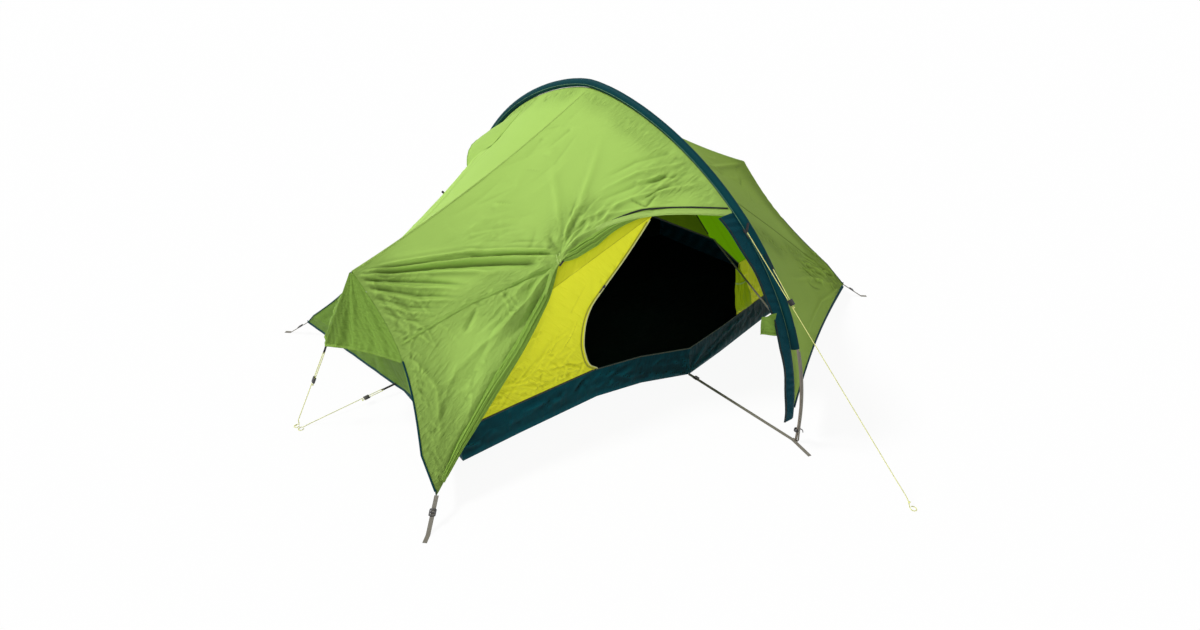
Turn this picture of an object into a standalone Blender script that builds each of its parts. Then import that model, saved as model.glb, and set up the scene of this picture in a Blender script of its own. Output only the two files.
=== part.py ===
"""A one-arch backpacking tent, pitched, with its porch door tied back and its inner door open.

Units are metres. X runs along the tent, Y across it with the porch door at -Y, and Z is up.
The origin is on the ground, under the middle of the arch. Every piece is one named object.
"""
import math

import bmesh
import bpy
from mathutils import Matrix, Vector

# Clearances and cloth
FIT = 0.0003                # gap between two pieces that touch
SEAM = 0.0010               # set-back of each cloth edge from the seam line it is sewn on
CLOTH = 0.0010              # thickness given to one layer of cloth
WEBBING = 0.0014            # thickness of webbing
WEBBING_WIDTH = 0.015
TAPE_WIDTH = 0.008          # the narrow tape of tabs, loops and the hanger

# Arch pole: a superellipse in the plane x = 0, in equal sections
ARCH_HALF_SPAN = 1.250
ARCH_HEIGHT = 1.1395
ARCH_WIDTH_POWER = 1.623
ARCH_HEIGHT_POWER = 2.259
ARCH_FINE_STEPS = 4000      # fine steps used to measure the arch's length
POLE_RADIUS = 0.0045
POLE_BORE_RADIUS = 0.0036
POLE_SECTIONS = 8
STEPS_PER_SECTION = 6
FERRULE_LENGTH = 0.022
FERRULE_FIT = 0.0004
POLE_SIDES = 8

# Sleeve that the pole runs through: an oval tube about the arch line, sewn on top of the flysheet
SLEEVE_HALF_WIDTH = 0.016
SLEEVE_HALF_HEIGHT = 0.0175
SLEEVE_WALL = 0.0008
SLEEVE_BARE_STEPS = 5       # steps of bare pole below each end of the sleeve
SLEEVE_SIDES = 12
POLE_SEAT = SLEEVE_HALF_HEIGHT - SLEEVE_WALL - FIT - POLE_RADIUS  # the pole lies in the sleeve's outer side

# Flysheet
FLY_HALF_LENGTH = 1.207
FLY_HALF_WIDTH = 0.715
CORNER_HEIGHT = 0.065
APEX_X = 1.130              # top of each end strut
APEX_HEIGHT_LEFT = 0.588
APEX_HEIGHT_RIGHT = 0.610
END_BASE_X = 1.055          # middle of each end wall, at the ground
END_BASE_HEIGHT = 0.020
ARRIS_DRAW_IN = 0.055       # how far the end edges bow in below the apex
ARRIS_BOW_END = 0.84        # share of the end edge at which that bow ends
ARCH_SEAM_X = 0.002         # where each panel ends under the sleeve
ARCH_SEAM_DROP = SLEEVE_HALF_HEIGHT + CLOTH / 2 + 2 * FIT
RIDGE_SAG = 0.032
SAG_POWER = 6               # the sag dies out towards the hem
HEM_AT_ARCH = 0.94          # where the hem leaves the arch, as a share of the quarter arch
HEM_RISE = 0.017            # how far the hem is cut up in its middle

# Hoods and struts at the two ends
STRUT_TIP_X = 1.283
STRUT_TIP_HEIGHT = 0.317
STRUT_RADIUS = 0.004
STRUT_START = 0.13          # share of the way from the apex to the tip at which the rod begins
STRUT_SIDES = 10
HOOD_DEPTH = 0.47           # share of the end edge that the hood covers
HOOD_HEM_RISE = 0.014
HOOD_HALF_ANGLE = math.radians(55)
HOOD_ROWS = 8
HOOD_COLUMNS = 6
END_WALL_START = 0.12       # share of the way down at which the end wall begins, under the hood
END_WALL_ROWS = 7
END_WALL_COLUMNS = 6

# Porch door opening: points along it, as a share from the arch to the end and down the panel
DOOR_TOP = 0.534
TIE_SHARE = 0.476           # where along that edge the door is tied
DOOR_EDGE = [(0.0, DOOR_TOP), (0.20, 0.442), (0.333, 0.412), (TIE_SHARE, 0.431),
             (0.563, 0.500), (0.764, 0.672), (0.884, 0.820), (1.0, 1.0)]

# Folds in the door panel, fanned out from the apex
FOLD_HEIGHT = 0.009
FOLD_SPREAD = 0.42          # half-width of the fan in radians of the panel's own shares
FOLD_REACH = 0.74           # share of the panel that the folds run across
FOLD_FADE = 0.6
FOLD_TURNS = 24.0
FOLD_DIRECTION = Vector((-0.3, -0.6, 0.74))

# Rolled porch door, its tie loop and toggle
ROLL_START = 0.05
ROLL_FINISH = 0.965
ROLL_STEPS = 20
ROLL_SIDES = 10
ROLL_INSET = 0.012
ROLL_GAP = 0.0050
ROLL_RADIUS_TIED = 0.012
ROLL_NECK = 0.03            # share of the edge either side of the tie that stays narrow
ROLL_RADIUS = [(0.0, 0.005), (0.2, 0.009), (0.36, 0.014), (TIE_SHARE - ROLL_NECK, ROLL_RADIUS_TIED),
               (TIE_SHARE, ROLL_RADIUS_TIED), (TIE_SHARE + ROLL_NECK, ROLL_RADIUS_TIED),
               (0.62, 0.016), (0.8, 0.020), (1.0, 0.007)]
TIE_CLEAR = 0.0007
TIE_REACH = 0.022
TIE_SIDES = 16
TIE_FACING = Vector((0.1, -1.0, -0.15))
TOGGLE_RADIUS = 0.003
TOGGLE_LENGTH = 0.024
TOGGLE_SIDES = 10

# Zipped strip beside the sleeve
FLAP_WIDTH = 0.052
FLAP_STEPS = 22
FLAP_COLUMNS = 3
FLAP_START_GAP = 0.006
FLAP_END = 0.955
FLAP_WAVE = 0.003
FLAP_WAVE_TURN = 1.9        # radians of the wave from one step to the next
FLAP_TURN = 0.010

# Zip sliders: (distance along the zip, half width, height above the tape), from nose to pull tab
SLIDER_SHAPE = [(-0.007, 0.0035, 0.004), (0.0, 0.005, 0.004), (0.005, 0.005, 0.004),
                (0.007, 0.0022, 0.0015), (0.030, 0.0022, 0.0015)]
SLIDER_GAP = 0.0020         # the inner slider's height over its wall, whose faces are flat
OUTER_SLIDER_GAP = 0.0004
SLIDER_INSET = 0.009        # from the edge of the cloth to the middle of the zip
SLIDER_SHARE = 0.570        # where the porch door's slider is parked, and how far down it turns
SLIDER_LOW_SHARE = 0.700
INNER_SLIDER_HEIGHT = 0.72  # the inner door's slider, as a share of the wall's height
INNER_SLIDER_TOP = 0.98

# Vent scoop on the rear of the flysheet
VENT_TOP = 0.30
VENT_MOUTH = 0.50
VENT_NEAR = 0.06
VENT_FAR = 0.25
VENT_LIFT = 0.048
VENT_SPRING = 0.7           # power of the scoop's rise from its closed end to its mouth
VENT_CLEAR = 0.0009
VENT_ROWS = 8
VENT_COLUMNS = 4

# Inner tent
FLOOR_HALF_LENGTH = 1.040
FLOOR_HALF_WIDTH = 0.562
FLOOR_PULL_OUT = 0.143      # how far the strap pulls the middle of each long side
TUB_HEIGHT = 0.135
TUB_LEAN = 0.012            # how far the tub's walls lean in at the top
RIDGE_DROP = 0.0895         # from the middle of the arch's top down to the inner ridge
RIDGE_HEIGHT = ARCH_HEIGHT - RIDGE_DROP
RIDGE_END_HEIGHT = 0.470
INNER_RIDGE_SAG = 0.020
ROOF_SWELL = 0.045
DOOR_PEAK_X = -0.172        # where the hanger holds the top of the inner door
BAND_X = 0.146              # where the tension band leaves the front shoulder
DOOR_RIGHT_X = 0.385
SHOULDER_Y = 0.600
SHOULDER_HEIGHT = RIDGE_HEIGHT - 0.295
BAND_HEIGHT = RIDGE_HEIGHT - 0.460
SHOULDER_END_Y = 0.380
SHOULDER_END_HEIGHT = 0.265
# The shoulder where a long wall meets the roof, as (x, distance from the middle, height)
FRONT_SHOULDER = [(-FLOOR_HALF_LENGTH, SHOULDER_END_Y, SHOULDER_END_HEIGHT),
                  (DOOR_PEAK_X, SHOULDER_Y, SHOULDER_HEIGHT), (BAND_X, 0.643, BAND_HEIGHT), (0.380, 0.612, 0.400),
                  (FLOOR_HALF_LENGTH, SHOULDER_END_Y, SHOULDER_END_HEIGHT)]
REAR_SHOULDER = [(-FLOOR_HALF_LENGTH, SHOULDER_END_Y, SHOULDER_END_HEIGHT),
                 (0.0, SHOULDER_Y, SHOULDER_HEIGHT),
                 (FLOOR_HALF_LENGTH, SHOULDER_END_Y, SHOULDER_END_HEIGHT)]
# How the strap draws the long sides out, as (x, share of FLOOR_PULL_OUT)
PULL = [(-FLOOR_HALF_LENGTH, 0.0), (-0.42, 0.06), (-0.21, 0.39), (0.0, 1.0), (0.25, 0.76), (0.66, 0.28),
        (FLOOR_HALF_LENGTH, 0.0)]
TUB_EXTRA_X = (-0.80, 0.85)  # extra stations near the ends of the tub
# Left edge of the inner door, as (share of the wall's height, x)
DOOR_LEFT = [(0.0, -0.410), (0.06, -0.443), (0.16, -0.460), (0.30, -0.467), (0.49, -0.452),
             (0.61, -0.423), (0.70, -0.375), (0.85, -0.273), (1.0, DOOR_PEAK_X)]
WALL_ROWS = 8
WALL_END_COLUMNS = 6
WALL_LEFT_COLUMNS = 12
WALL_RIGHT_COLUMNS = 6
# Stations of the inner roof, as shares of its half length
ROOF_STATIONS = [-1.0, -0.85, -0.6, -0.38, DOOR_PEAK_X, 0.0, BAND_X, 0.38, 0.6, 0.85, 1.0]
# The gathered inner door, as (share of the way down, half width, half depth)
GATHER = [(0.0, 0.012, 0.010), (0.25, 0.030, 0.016), (0.6, 0.052, 0.020), (0.9, 0.060, 0.018),
          (1.0, 0.050, 0.010)]
GATHER_TOP = 0.93           # heights of its ends, as shares of the wall
GATHER_FOOT = 0.10
GATHER_START_X = DOOR_RIGHT_X - 0.020
GATHER_FINISH_X = DOOR_RIGHT_X + 0.030
GATHER_GAP = 0.0006
GATHER_SIDES = 12
HANGER_U = 0.14             # where the hanger meets the flysheet
HANGER_SHARE = 0.40
BAND_WIDTH = 0.012
BAND_SEAT = 0.0072          # from the seam under the sleeve in to the end of the band

# Straps and pegging points
PEG_X = 1.303
PEG_Y = 0.811
PEG_FLAT = 0.030            # length of each corner strap that lies on the ground
FOOT_STRAP_WIDTH = 0.011
STRAP_REACH_Y = 1.345       # far end of the strap that crosses the arch foot
STRAP_TURN_X = -0.004       # how the strap drifts aside on its way to the foot, and at its end
STRAP_END_X = -0.030
STRAP_TURN_SHORT = 0.010    # from the turn in that strap to the arch foot
BUCKLE_LENGTH = 0.024
BUCKLE_WIDTH = 0.023
BUCKLE_THICKNESS = 0.004
BUCKLE_BAR = 0.004
BUCKLE_CORNER = 0.003
BUCKLE_PIVOT = 0.0008       # from the top bar's edge in to the hinge, so that it turns clear
BUCKLE_SLOT = WEBBING_WIDTH + 0.001
CORNER_BUCKLE_SHARE = 0.35
FLOOR_BUCKLE_START = 0.030

# Cords, runners and guyline tabs
CORD_DIAMETER = 0.003
CORD_SPACING = 0.012        # between the two strands above a runner
RUNNER_LENGTH = 0.022
RUNNER_DEPTH = 0.008
RUNNER_WALL = 0.003
RUNNER_HOLE = 0.0038
RUNNER_TRAVEL = 0.030
PEG_LOOP_RADIUS = 0.010
PEG_LOOP_TURN = math.radians(300)
PEG_LOOP_STEPS = 8
FRONT_PEG = (0.021, -1.707)
END_PEG = (-1.458, 0.024)
BASE_PEG = (-1.450, -0.004)
UPPER_TAB_SHARE = 0.560
LOWER_TAB_SHARE = 0.625
UPPER_TAB_REACH = Vector((-0.045, -0.0375, 0.0012))
LOWER_TAB_REACH = Vector((-0.038, -0.0693, -0.0092))
FRONT_RUNNER_REACH = 0.2905   # from the upper tab down the cord to the runner
SLEEVE_TAB_X = -0.008
SLEEVE_TAB_LIFT = 0.0033    # clears the sleeve by a fit, as the tabs lean along it
UPPER_CORD_SEAT = 0.0031    # from the end of each tab's tape to the face of its cord
LOWER_CORD_SEAT = 0.0023
TIP_TAB_LENGTH = 0.030
BASE_TAB_LENGTH = 0.062
BASE_TAB_HEIGHT = 0.036
END_RUNNER_SHARE = 0.36
BASE_RUNNER_SHARE = 0.20
STRAND_TAIL = 0.008         # length of the knotted end below a runner
BRANCH_TAIL = 0.010
BRANCH_CLEAR = 0.001


def clear_scene():
    """Remove every object that the new file starts with."""
    for thing in list(bpy.data.objects):
        bpy.data.objects.remove(thing, do_unlink=True)


def make_material(name, colour, roughness, metallic=0.0):
    """A plain Principled material in the colour of the real piece."""
    material = bpy.data.materials.new(name)
    material.use_nodes = True
    shader = material.node_tree.nodes["Principled BSDF"]
    shader.inputs["Base Color"].default_value = (*colour, 1.0)
    shader.inputs["Roughness"].default_value = roughness
    shader.inputs["Metallic"].default_value = metallic
    return material


clear_scene()
tent = bpy.data.collections.new("backpacking_tent")
bpy.context.scene.collection.children.link(tent)

GREEN = make_material("green_nylon", (0.26, 0.46, 0.09), 0.45)
TEAL = make_material("teal_nylon", (0.005, 0.065, 0.09), 0.5)
YELLOW = make_material("yellow_nylon", (0.68, 0.70, 0.02), 0.5)
GREY = make_material("grey_webbing", (0.17, 0.145, 0.12), 0.8)
BLACK = make_material("black_webbing", (0.02, 0.02, 0.02), 0.8)
METAL = make_material("anodised_tube", (0.20, 0.17, 0.14), 0.35, 0.9)
PLASTIC = make_material("dark_plastic", (0.03, 0.03, 0.03), 0.4)
CORD = make_material("pale_cord", (0.74, 0.76, 0.20), 0.7)


def add_mesh(name, points, faces, material, smooth=False):
    """One object from points and faces, in the tent's collection."""
    mesh = bpy.data.meshes.new(name)
    mesh.from_pydata([tuple(p) for p in points], [], faces)
    mesh.materials.append(material)
    if smooth:
        mesh.shade_smooth()
        mesh.set_sharp_from_angle(angle=math.radians(40))
    thing = bpy.data.objects.new(name, mesh)
    tent.objects.link(thing)
    return thing


def grid_faces(rows, columns, wrap=False):
    """Quads between neighbouring rows of equal length."""
    faces = []
    last = columns if wrap else columns - 1
    for row in range(rows - 1):
        for column in range(last):
            after = (column + 1) % columns
            here = row * columns
            above = here + columns
            faces.append((here + column, here + after, above + after, above + column))
    return faces


def cloth(name, rows, material):
    """A sheet from rows of points, with its thickness from Solidify."""
    points = [p for row in rows for p in row]
    thicken(add_mesh(name, points, grid_faces(len(rows), len(rows[0])), material, True), CLOTH)


def thicken(sheet, thickness):
    """Give a sheet its thickness, half of it on each side."""
    wall = sheet.modifiers.new("thickness", "SOLIDIFY")
    wall.thickness = thickness
    wall.offset = 0.0
    wall.use_even_offset = True


def loft(name, rings, material, smooth=True):
    """A solid through closed rings, with a flat face on its first and last ring."""
    points = [p for ring in rings for p in ring]
    sides = len(rings[0])
    faces = grid_faces(len(rings), sides, True)
    start = len(points) - sides
    faces.append(tuple(reversed(range(sides))))
    faces.append(tuple(range(start, start + sides)))
    thing = add_mesh(name, points, faces, material, smooth)
    outward(thing)
    return thing


def outward(thing):
    """Turn every face of a closed mesh outwards."""
    work = bmesh.new()
    work.from_mesh(thing.data)
    bmesh.ops.recalc_face_normals(work, faces=work.faces)
    work.to_mesh(thing.data)
    work.free()


def mix(a, b, share):
    """A value or point part of the way from a to b."""
    return a + (b - a) * share


def toward(a, b, distance):
    """The point that lies a distance from a on the way to b."""
    return a + (b - a).normalized() * distance


def through(stations, where):
    """A smooth value at one place, through (place, value) pairs in rising order."""
    places = [s[0] for s in stations]
    values = [s[1] for s in stations]
    count = len(stations)
    slopes = []
    for i in range(count):
        low = max(i - 1, 0)
        high = min(i + 1, count - 1)
        slopes.append((values[high] - values[low]) / (places[high] - places[low]))
    where = min(max(where, places[0]), places[-1])
    i = max(k for k in range(count - 1) if places[k] <= where)
    span = places[i + 1] - places[i]
    t = (where - places[i]) / span
    start = (1 + 2 * t) * (1 - t) ** 2 * values[i] + t * (1 - t) ** 2 * span * slopes[i]
    end = t * t * (3 - 2 * t) * values[i + 1] + t * t * (t - 1) * span * slopes[i + 1]
    return start + end


# Arch geometry
def arch_angle_point(angle):
    """The pole's centre line at an angle from the top, negative towards the door side."""
    side = math.copysign(1.0, angle)
    across = ARCH_HALF_SPAN * abs(math.sin(angle)) ** (2.0 / ARCH_WIDTH_POWER)
    up = ARCH_HEIGHT * abs(math.cos(angle)) ** (2.0 / ARCH_HEIGHT_POWER)
    return Vector((0.0, side * across, up))


def arch_share_point(share, side):
    """The centre line at a share of one quarter, 0 at the top and 1 at the ground."""
    return arch_angle_point(side * share * math.pi / 2.0)


def even_arch(count):
    """Points at equal steps of length along the whole arch, from the door side."""
    fine = ARCH_FINE_STEPS
    line = [arch_angle_point(math.pi * (i / fine - 0.5)) for i in range(fine + 1)]
    line[0].z = 0.0
    line[-1].z = 0.0
    lengths = [0.0]
    for i in range(fine):
        lengths.append(lengths[-1] + (line[i + 1] - line[i]).length)
    points = []
    k = 0
    for i in range(count + 1):
        goal = lengths[-1] * i / count
        while k < fine - 1 and lengths[k + 1] < goal:
            k += 1
        share = (goal - lengths[k]) / (lengths[k + 1] - lengths[k])
        points.append(mix(line[k], line[k + 1], share))
    return points


ARCH_STEPS = POLE_SECTIONS * STEPS_PER_SECTION
FOOT_LIFT = 2 * WEBBING + 3 * FIT
ARCH = even_arch(ARCH_STEPS)


def arch_frame(index):
    """Point, tangent and outward normal of the arch at one station."""
    before = ARCH[max(index - 1, 0)]
    after = ARCH[min(index + 1, ARCH_STEPS)]
    tangent = (after - before).normalized()
    normal = Vector((0.0, -tangent.z, tangent.y))
    return ARCH[index], tangent, normal


def pole_point(index):
    """The pole's centre at one station, in the outer side of the sleeve, and standing on its foot strap."""
    point, tangent, normal = arch_frame(index)
    point = point + normal * POLE_SEAT
    if index in (0, ARCH_STEPS):
        point.z = FOOT_LIFT
    return point


def oval_ring(centre, across, up, half_width, half_height, sides):
    """A closed oval of points round a centre."""
    ring = []
    for i in range(sides):
        turn = 2.0 * math.pi * i / sides
        ring.append(centre + across * (half_width * math.cos(turn)) + up * (half_height * math.sin(turn)))
    return ring


X_AXIS = Vector((1.0, 0.0, 0.0))
Y_AXIS = Vector((0.0, 1.0, 0.0))
Z_AXIS = Vector((0.0, 0.0, 1.0))


def pole_section(number):
    """One tube of the arch: a ferrule at its first end and a bore for the next at its last."""
    first = number * STEPS_PER_SECTION
    last = first + STEPS_PER_SECTION
    rings = []

    def ring_at(point, normal, radius):
        rings.append(oval_ring(point, X_AXIS, normal, radius, radius, POLE_SIDES))

    for index in range(first, last + 1):
        _, tangent, normal = arch_frame(index)
        point = pole_point(index)
        if index == first and number > 0:
            point = point + tangent * FIT / 2
            back = pole_point(first - 1) - pole_point(first)
            tip = point + back.normalized() * FERRULE_LENGTH
            slim = POLE_BORE_RADIUS - FERRULE_FIT
            ring_at(tip, normal, slim)
            ring_at(point, normal, slim)
        if index == last and number < POLE_SECTIONS - 1:
            point = point - tangent * FIT / 2
        ring_at(point, normal, POLE_RADIUS)
    if number < POLE_SECTIONS - 1:
        ring_at(point, normal, POLE_BORE_RADIUS)
        forward = (pole_point(last - 1) - pole_point(last)).normalized()
        deep = point + forward * (FERRULE_LENGTH + FIT * 2)
        ring_at(deep, normal, POLE_BORE_RADIUS)
    loft(f"pole_section_{number + 1}", rings, METAL)


def arch_sleeve():
    """The oval sleeve of cloth that holds the pole to the flysheet."""
    first = SLEEVE_BARE_STEPS
    last = ARCH_STEPS - SLEEVE_BARE_STEPS
    outer = []
    inner = []
    for index in range(first, last + 1):
        point, tangent, normal = arch_frame(index)
        outer.append(oval_ring(point, X_AXIS, normal, SLEEVE_HALF_WIDTH, SLEEVE_HALF_HEIGHT, SLEEVE_SIDES))
        inner.append(oval_ring(point, X_AXIS, normal, SLEEVE_HALF_WIDTH - SLEEVE_WALL,
                               SLEEVE_HALF_HEIGHT - SLEEVE_WALL, SLEEVE_SIDES))
    rings = outer + list(reversed(inner))
    rings.append(rings[0])
    count = len(rings) - 1
    points = [p for ring in rings[:-1] for p in ring]
    faces = grid_faces(count, SLEEVE_SIDES, True)
    top = (count - 1) * SLEEVE_SIDES
    for column in range(SLEEVE_SIDES):
        after = (column + 1) % SLEEVE_SIDES
        faces.append((top + column, top + after, after, column))
    outward(add_mesh("arch_sleeve", points, faces, TEAL, True))


# Flysheet geometry
def end_point(x, y, z, end, side=1.0):
    """A point given for one quarter, at the chosen end and side."""
    return Vector((end * x, side * y, z))


def apex_point(end):
    """The top of an end strut."""
    return end_point(APEX_X, 0.0, APEX_HEIGHT_LEFT if end < 0 else APEX_HEIGHT_RIGHT, end)


def strut_tip(end):
    """The lower, outer end of an end strut."""
    return end_point(STRUT_TIP_X, 0.0, STRUT_TIP_HEIGHT, end)


def arris(share, end, side):
    """The edge from an end apex down to a corner, bowed in towards the tent."""
    apex = apex_point(end)
    corner = end_point(FLY_HALF_LENGTH, FLY_HALF_WIDTH, CORNER_HEIGHT, end, side)
    bow = ARRIS_DRAW_IN * math.sin(math.pi * min(share / ARRIS_BOW_END, 1.0))
    return mix(apex, corner, share) - X_AXIS * (end * bow)


def under_sleeve(share, side):
    """The line under the sleeve where the panels of the flysheet meet."""
    step = 0.004
    tangent = arch_share_point(share + step, side) - arch_share_point(share - step, side)
    tangent.normalize()
    outward_normal = Vector((0.0, -side * tangent.z, side * tangent.y))
    return arch_share_point(share, side) - outward_normal * ARCH_SEAM_DROP


def canopy_point(u, share, end, side):
    """The flysheet at u from the arch to the end, and at a share from the ridge to the hem."""
    start = under_sleeve(share, side) + X_AXIS * (end * ARCH_SEAM_X)
    finish = arris(share, end, side)
    point = mix(start, finish, u)
    sag = RIDGE_SAG * 4.0 * u * (1.0 - u) * (1.0 - max(share, 0.0) ** SAG_POWER)
    angle = share * math.pi / 2.0
    inward = Vector((0.0, -side * math.sin(angle), -math.cos(angle)))
    return point + inward * sag


def hem_share(u):
    """Where the hem runs, as a share down the panel."""
    return mix(HEM_AT_ARCH, 1.0, u) - HEM_RISE * 4.0 * u * (1.0 - u)


def door_share(u):
    """Where the edge of the porch door's opening runs."""
    return through(DOOR_EDGE, u)


def door_fold(u, share):
    """Folds in the door panel, from the apex towards the tie."""
    reach = math.hypot(1.0 - u, share)
    tie = math.atan2(door_share(TIE_SHARE), 1.0 - TIE_SHARE)
    turn = math.atan2(share, 1.0 - u) - tie
    fan = math.exp(-(turn / FOLD_SPREAD) ** 2)
    length = math.sin(math.pi * min(reach / FOLD_REACH, 1.0)) ** FOLD_FADE
    return FOLD_HEIGHT * fan * length * math.cos(turn * FOLD_TURNS)


def canopy(name, end, side, edge, rows, columns, fold=None):
    """One quarter of the flysheet, set back from its seams."""
    grid = []
    ridge_seam = Y_AXIS * (side * SEAM)
    for i in range(rows + 1):
        u = i / rows
        line = []
        for j in range(columns + 1):
            share = edge(u) * j / columns
            point = canopy_point(u, share, end, side)
            if fold:
                point = point + FOLD_DIRECTION * fold(u, share)
            if j == 0:
                point = point + ridge_seam
            line.append(point)
        grid.append(line)
    cloth(name, grid, GREEN)


def hood(name, end):
    """The hood over an end strut, from one end edge over the strut to the other."""
    rows = HOOD_ROWS
    columns = HOOD_COLUMNS
    grid = []
    apex = apex_point(end)
    tip = strut_tip(end)
    clear = (STRUT_RADIUS + CLOTH / 2 + FIT) / math.sin(HOOD_HALF_ANGLE)
    lift = (tip - apex).cross(Y_AXIS).normalized() * (end * clear)
    for i in range(1, rows + 1):
        down = i / rows
        line = []
        middle = mix(apex, tip, down) + lift
        for j in range(-columns, columns + 1):
            side = 1.0 if j >= 0 else -1.0
            share = abs(j) / columns
            edge = arris(HOOD_DEPTH * down, end, side) + X_AXIS * (end * SEAM * 2)
            point = mix(middle, edge, share)
            rise = HOOD_HEM_RISE * 4.0 * share * (1.0 - share) * down ** 3
            line.append(point + Z_AXIS * rise)
        grid.append(line)
    cloth(name, grid, GREEN)


def end_wall(name, end):
    """The recessed wall behind a hood: two panels that meet on a line drawn in at the base."""
    rows = END_WALL_ROWS
    columns = END_WALL_COLUMNS
    grid = []
    apex = apex_point(end)
    base = end_point(END_BASE_X, 0.0, END_BASE_HEIGHT, end)
    for i in range(rows + 1):
        down = mix(END_WALL_START, 1.0, i / rows)
        middle = mix(apex, base, down)
        line = []
        for j in range(-columns, columns + 1):
            side = 1.0 if j >= 0 else -1.0
            edge = toward(arris(down, end, side), middle, SEAM * 2)
            line.append(mix(middle, edge, abs(j) / columns))
        grid.append(line)
    cloth(name, grid, GREEN)


def strut(name, end):
    """The short rod that holds an end apex up and out."""
    apex = apex_point(end)
    tip = strut_tip(end)
    axis = (tip - apex).normalized()
    length = (tip - apex).length
    start = length * STRUT_START
    bpy.ops.mesh.primitive_cylinder_add(vertices=STRUT_SIDES, radius=STRUT_RADIUS, depth=length - start)
    rod = bpy.context.object
    rod.name = name
    rod.location = apex + axis * ((length + start) / 2)
    rod.rotation_euler = axis.to_track_quat("Z", "Y").to_euler()
    rod.data.name = name
    rod.data.materials.append(METAL)
    adopt(rod)
    rod.data.shade_smooth()
    rod.data.set_sharp_from_angle(angle=math.radians(40))


def strap(name, path, across, material, width=WEBBING_WIDTH, thickness=WEBBING):
    """A flat strap along a path, with its width along the across vectors."""
    rings = []
    for i, point in enumerate(path):
        before = path[max(i - 1, 0)]
        after = path[min(i + 1, len(path) - 1)]
        tangent = (after - before).normalized()
        side = across[i] if isinstance(across, list) else across
        side = (side - tangent * side.dot(tangent)).normalized()
        normal = side.cross(tangent).normalized()
        half = side * (width / 2)
        thin = normal * (thickness / 2)
        rings.append([point - half - thin, point + half - thin, point + half + thin, point - half + thin])
    return loft(name, rings, material, False)


def place(thing, origin, x_axis, y_axis):
    """Put an object's origin and axes in the tent's frame."""
    x_axis = x_axis.normalized()
    z_axis = x_axis.cross(y_axis).normalized()
    y_axis = z_axis.cross(x_axis)
    turn = Matrix((x_axis, y_axis, z_axis)).transposed()
    thing.matrix_world = Matrix.Translation(origin) @ turn.to_4x4()


def circle(radius, sides, centre=(0.0, 0.0)):
    """A round outline."""
    points = []
    for i in range(sides):
        turn = 2.0 * math.pi * i / sides
        points.append((centre[0] + radius * math.cos(turn), centre[1] + radius * math.sin(turn)))
    return points


def rounded(width, height, radius, centre=(0.0, 0.0), steps=2):
    """A rectangle outline with round corners."""
    points = []
    for corner in range(4):
        middle = corner * math.pi / 2 + math.pi / 4
        cx = centre[0] + math.copysign(width / 2 - radius, math.cos(middle))
        cy = centre[1] + math.copysign(height / 2 - radius, math.sin(middle))
        for i in range(steps + 1):
            turn = corner * math.pi / 2 + math.pi / 2 * i / steps
            points.append((cx + radius * math.cos(turn), cy + radius * math.sin(turn)))
    return points


def plate(name, outlines, thickness, material):
    """A flat piece from an outline and its holes, lying about its own XY plane."""
    curve = bpy.data.curves.new(name, "CURVE")
    curve.dimensions = "2D"
    curve.fill_mode = "BOTH"
    curve.extrude = thickness / 2
    for outline in outlines:
        spline = curve.splines.new("POLY")
        spline.points.add(len(outline) - 1)
        for point, (x, y) in zip(spline.points, outline):
            point.co = (x, y, 0.0, 1.0)
        spline.use_cyclic_u = True
    curve.materials.append(material)
    thing = bpy.data.objects.new(name, curve)
    tent.objects.link(thing)
    return thing


def cord(name, points):
    """A cord as a tube along its points."""
    curve = bpy.data.curves.new(name, "CURVE")
    curve.dimensions = "3D"
    curve.bevel_depth = CORD_DIAMETER / 2
    curve.bevel_resolution = 2
    curve.use_fill_caps = True
    spline = curve.splines.new("POLY")
    spline.points.add(len(points) - 1)
    for target, point in zip(spline.points, points):
        target.co = (*point, 1.0)
    curve.materials.append(CORD)
    thing = bpy.data.objects.new(name, curve)
    tent.objects.link(thing)
    return thing


def smooth_line(route, count):
    """Points read at even steps from a smooth curve through a route's points."""
    lengths = [0.0]
    for a, b in zip(route, route[1:]):
        lengths.append(lengths[-1] + (b - a).length)
    points = []
    for i in range(count + 1):
        where = lengths[-1] * i / count
        values = [through([(l, p[axis]) for l, p in zip(lengths, route)], where) for axis in range(3)]
        points.append(Vector(values))
    return points


# The porch door, tied back
def door_surface(u, share):
    """The door panel with its folds."""
    return canopy_point(u, share, -1.0, -1.0) + FOLD_DIRECTION * door_fold(u, share)


def surface_frame(surface, u, share):
    """Point and outward normal of a surface of the flysheet."""
    step = 0.01
    along = surface(u + step, share) - surface(u - step, share)
    down = surface(u, share + step) - surface(u, share - step)
    normal = along.cross(down).normalized()
    if normal.z < 0:
        normal = -normal
    return surface(u, share), normal


def door_roll_centre(u):
    """Centre line of the rolled door, just inside the edge of the panel."""
    radius = through(ROLL_RADIUS, u)
    point, normal = surface_frame(door_surface, u, door_share(u) - ROLL_INSET)
    return point - normal * (radius + CLOTH / 2 + ROLL_GAP), radius


def tie_axis():
    """The direction of the rolled door where it is tied."""
    before, _ = door_roll_centre(TIE_SHARE - TIE_REACH)
    after, _ = door_roll_centre(TIE_SHARE + TIE_REACH)
    return (after - before).normalized()


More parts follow.
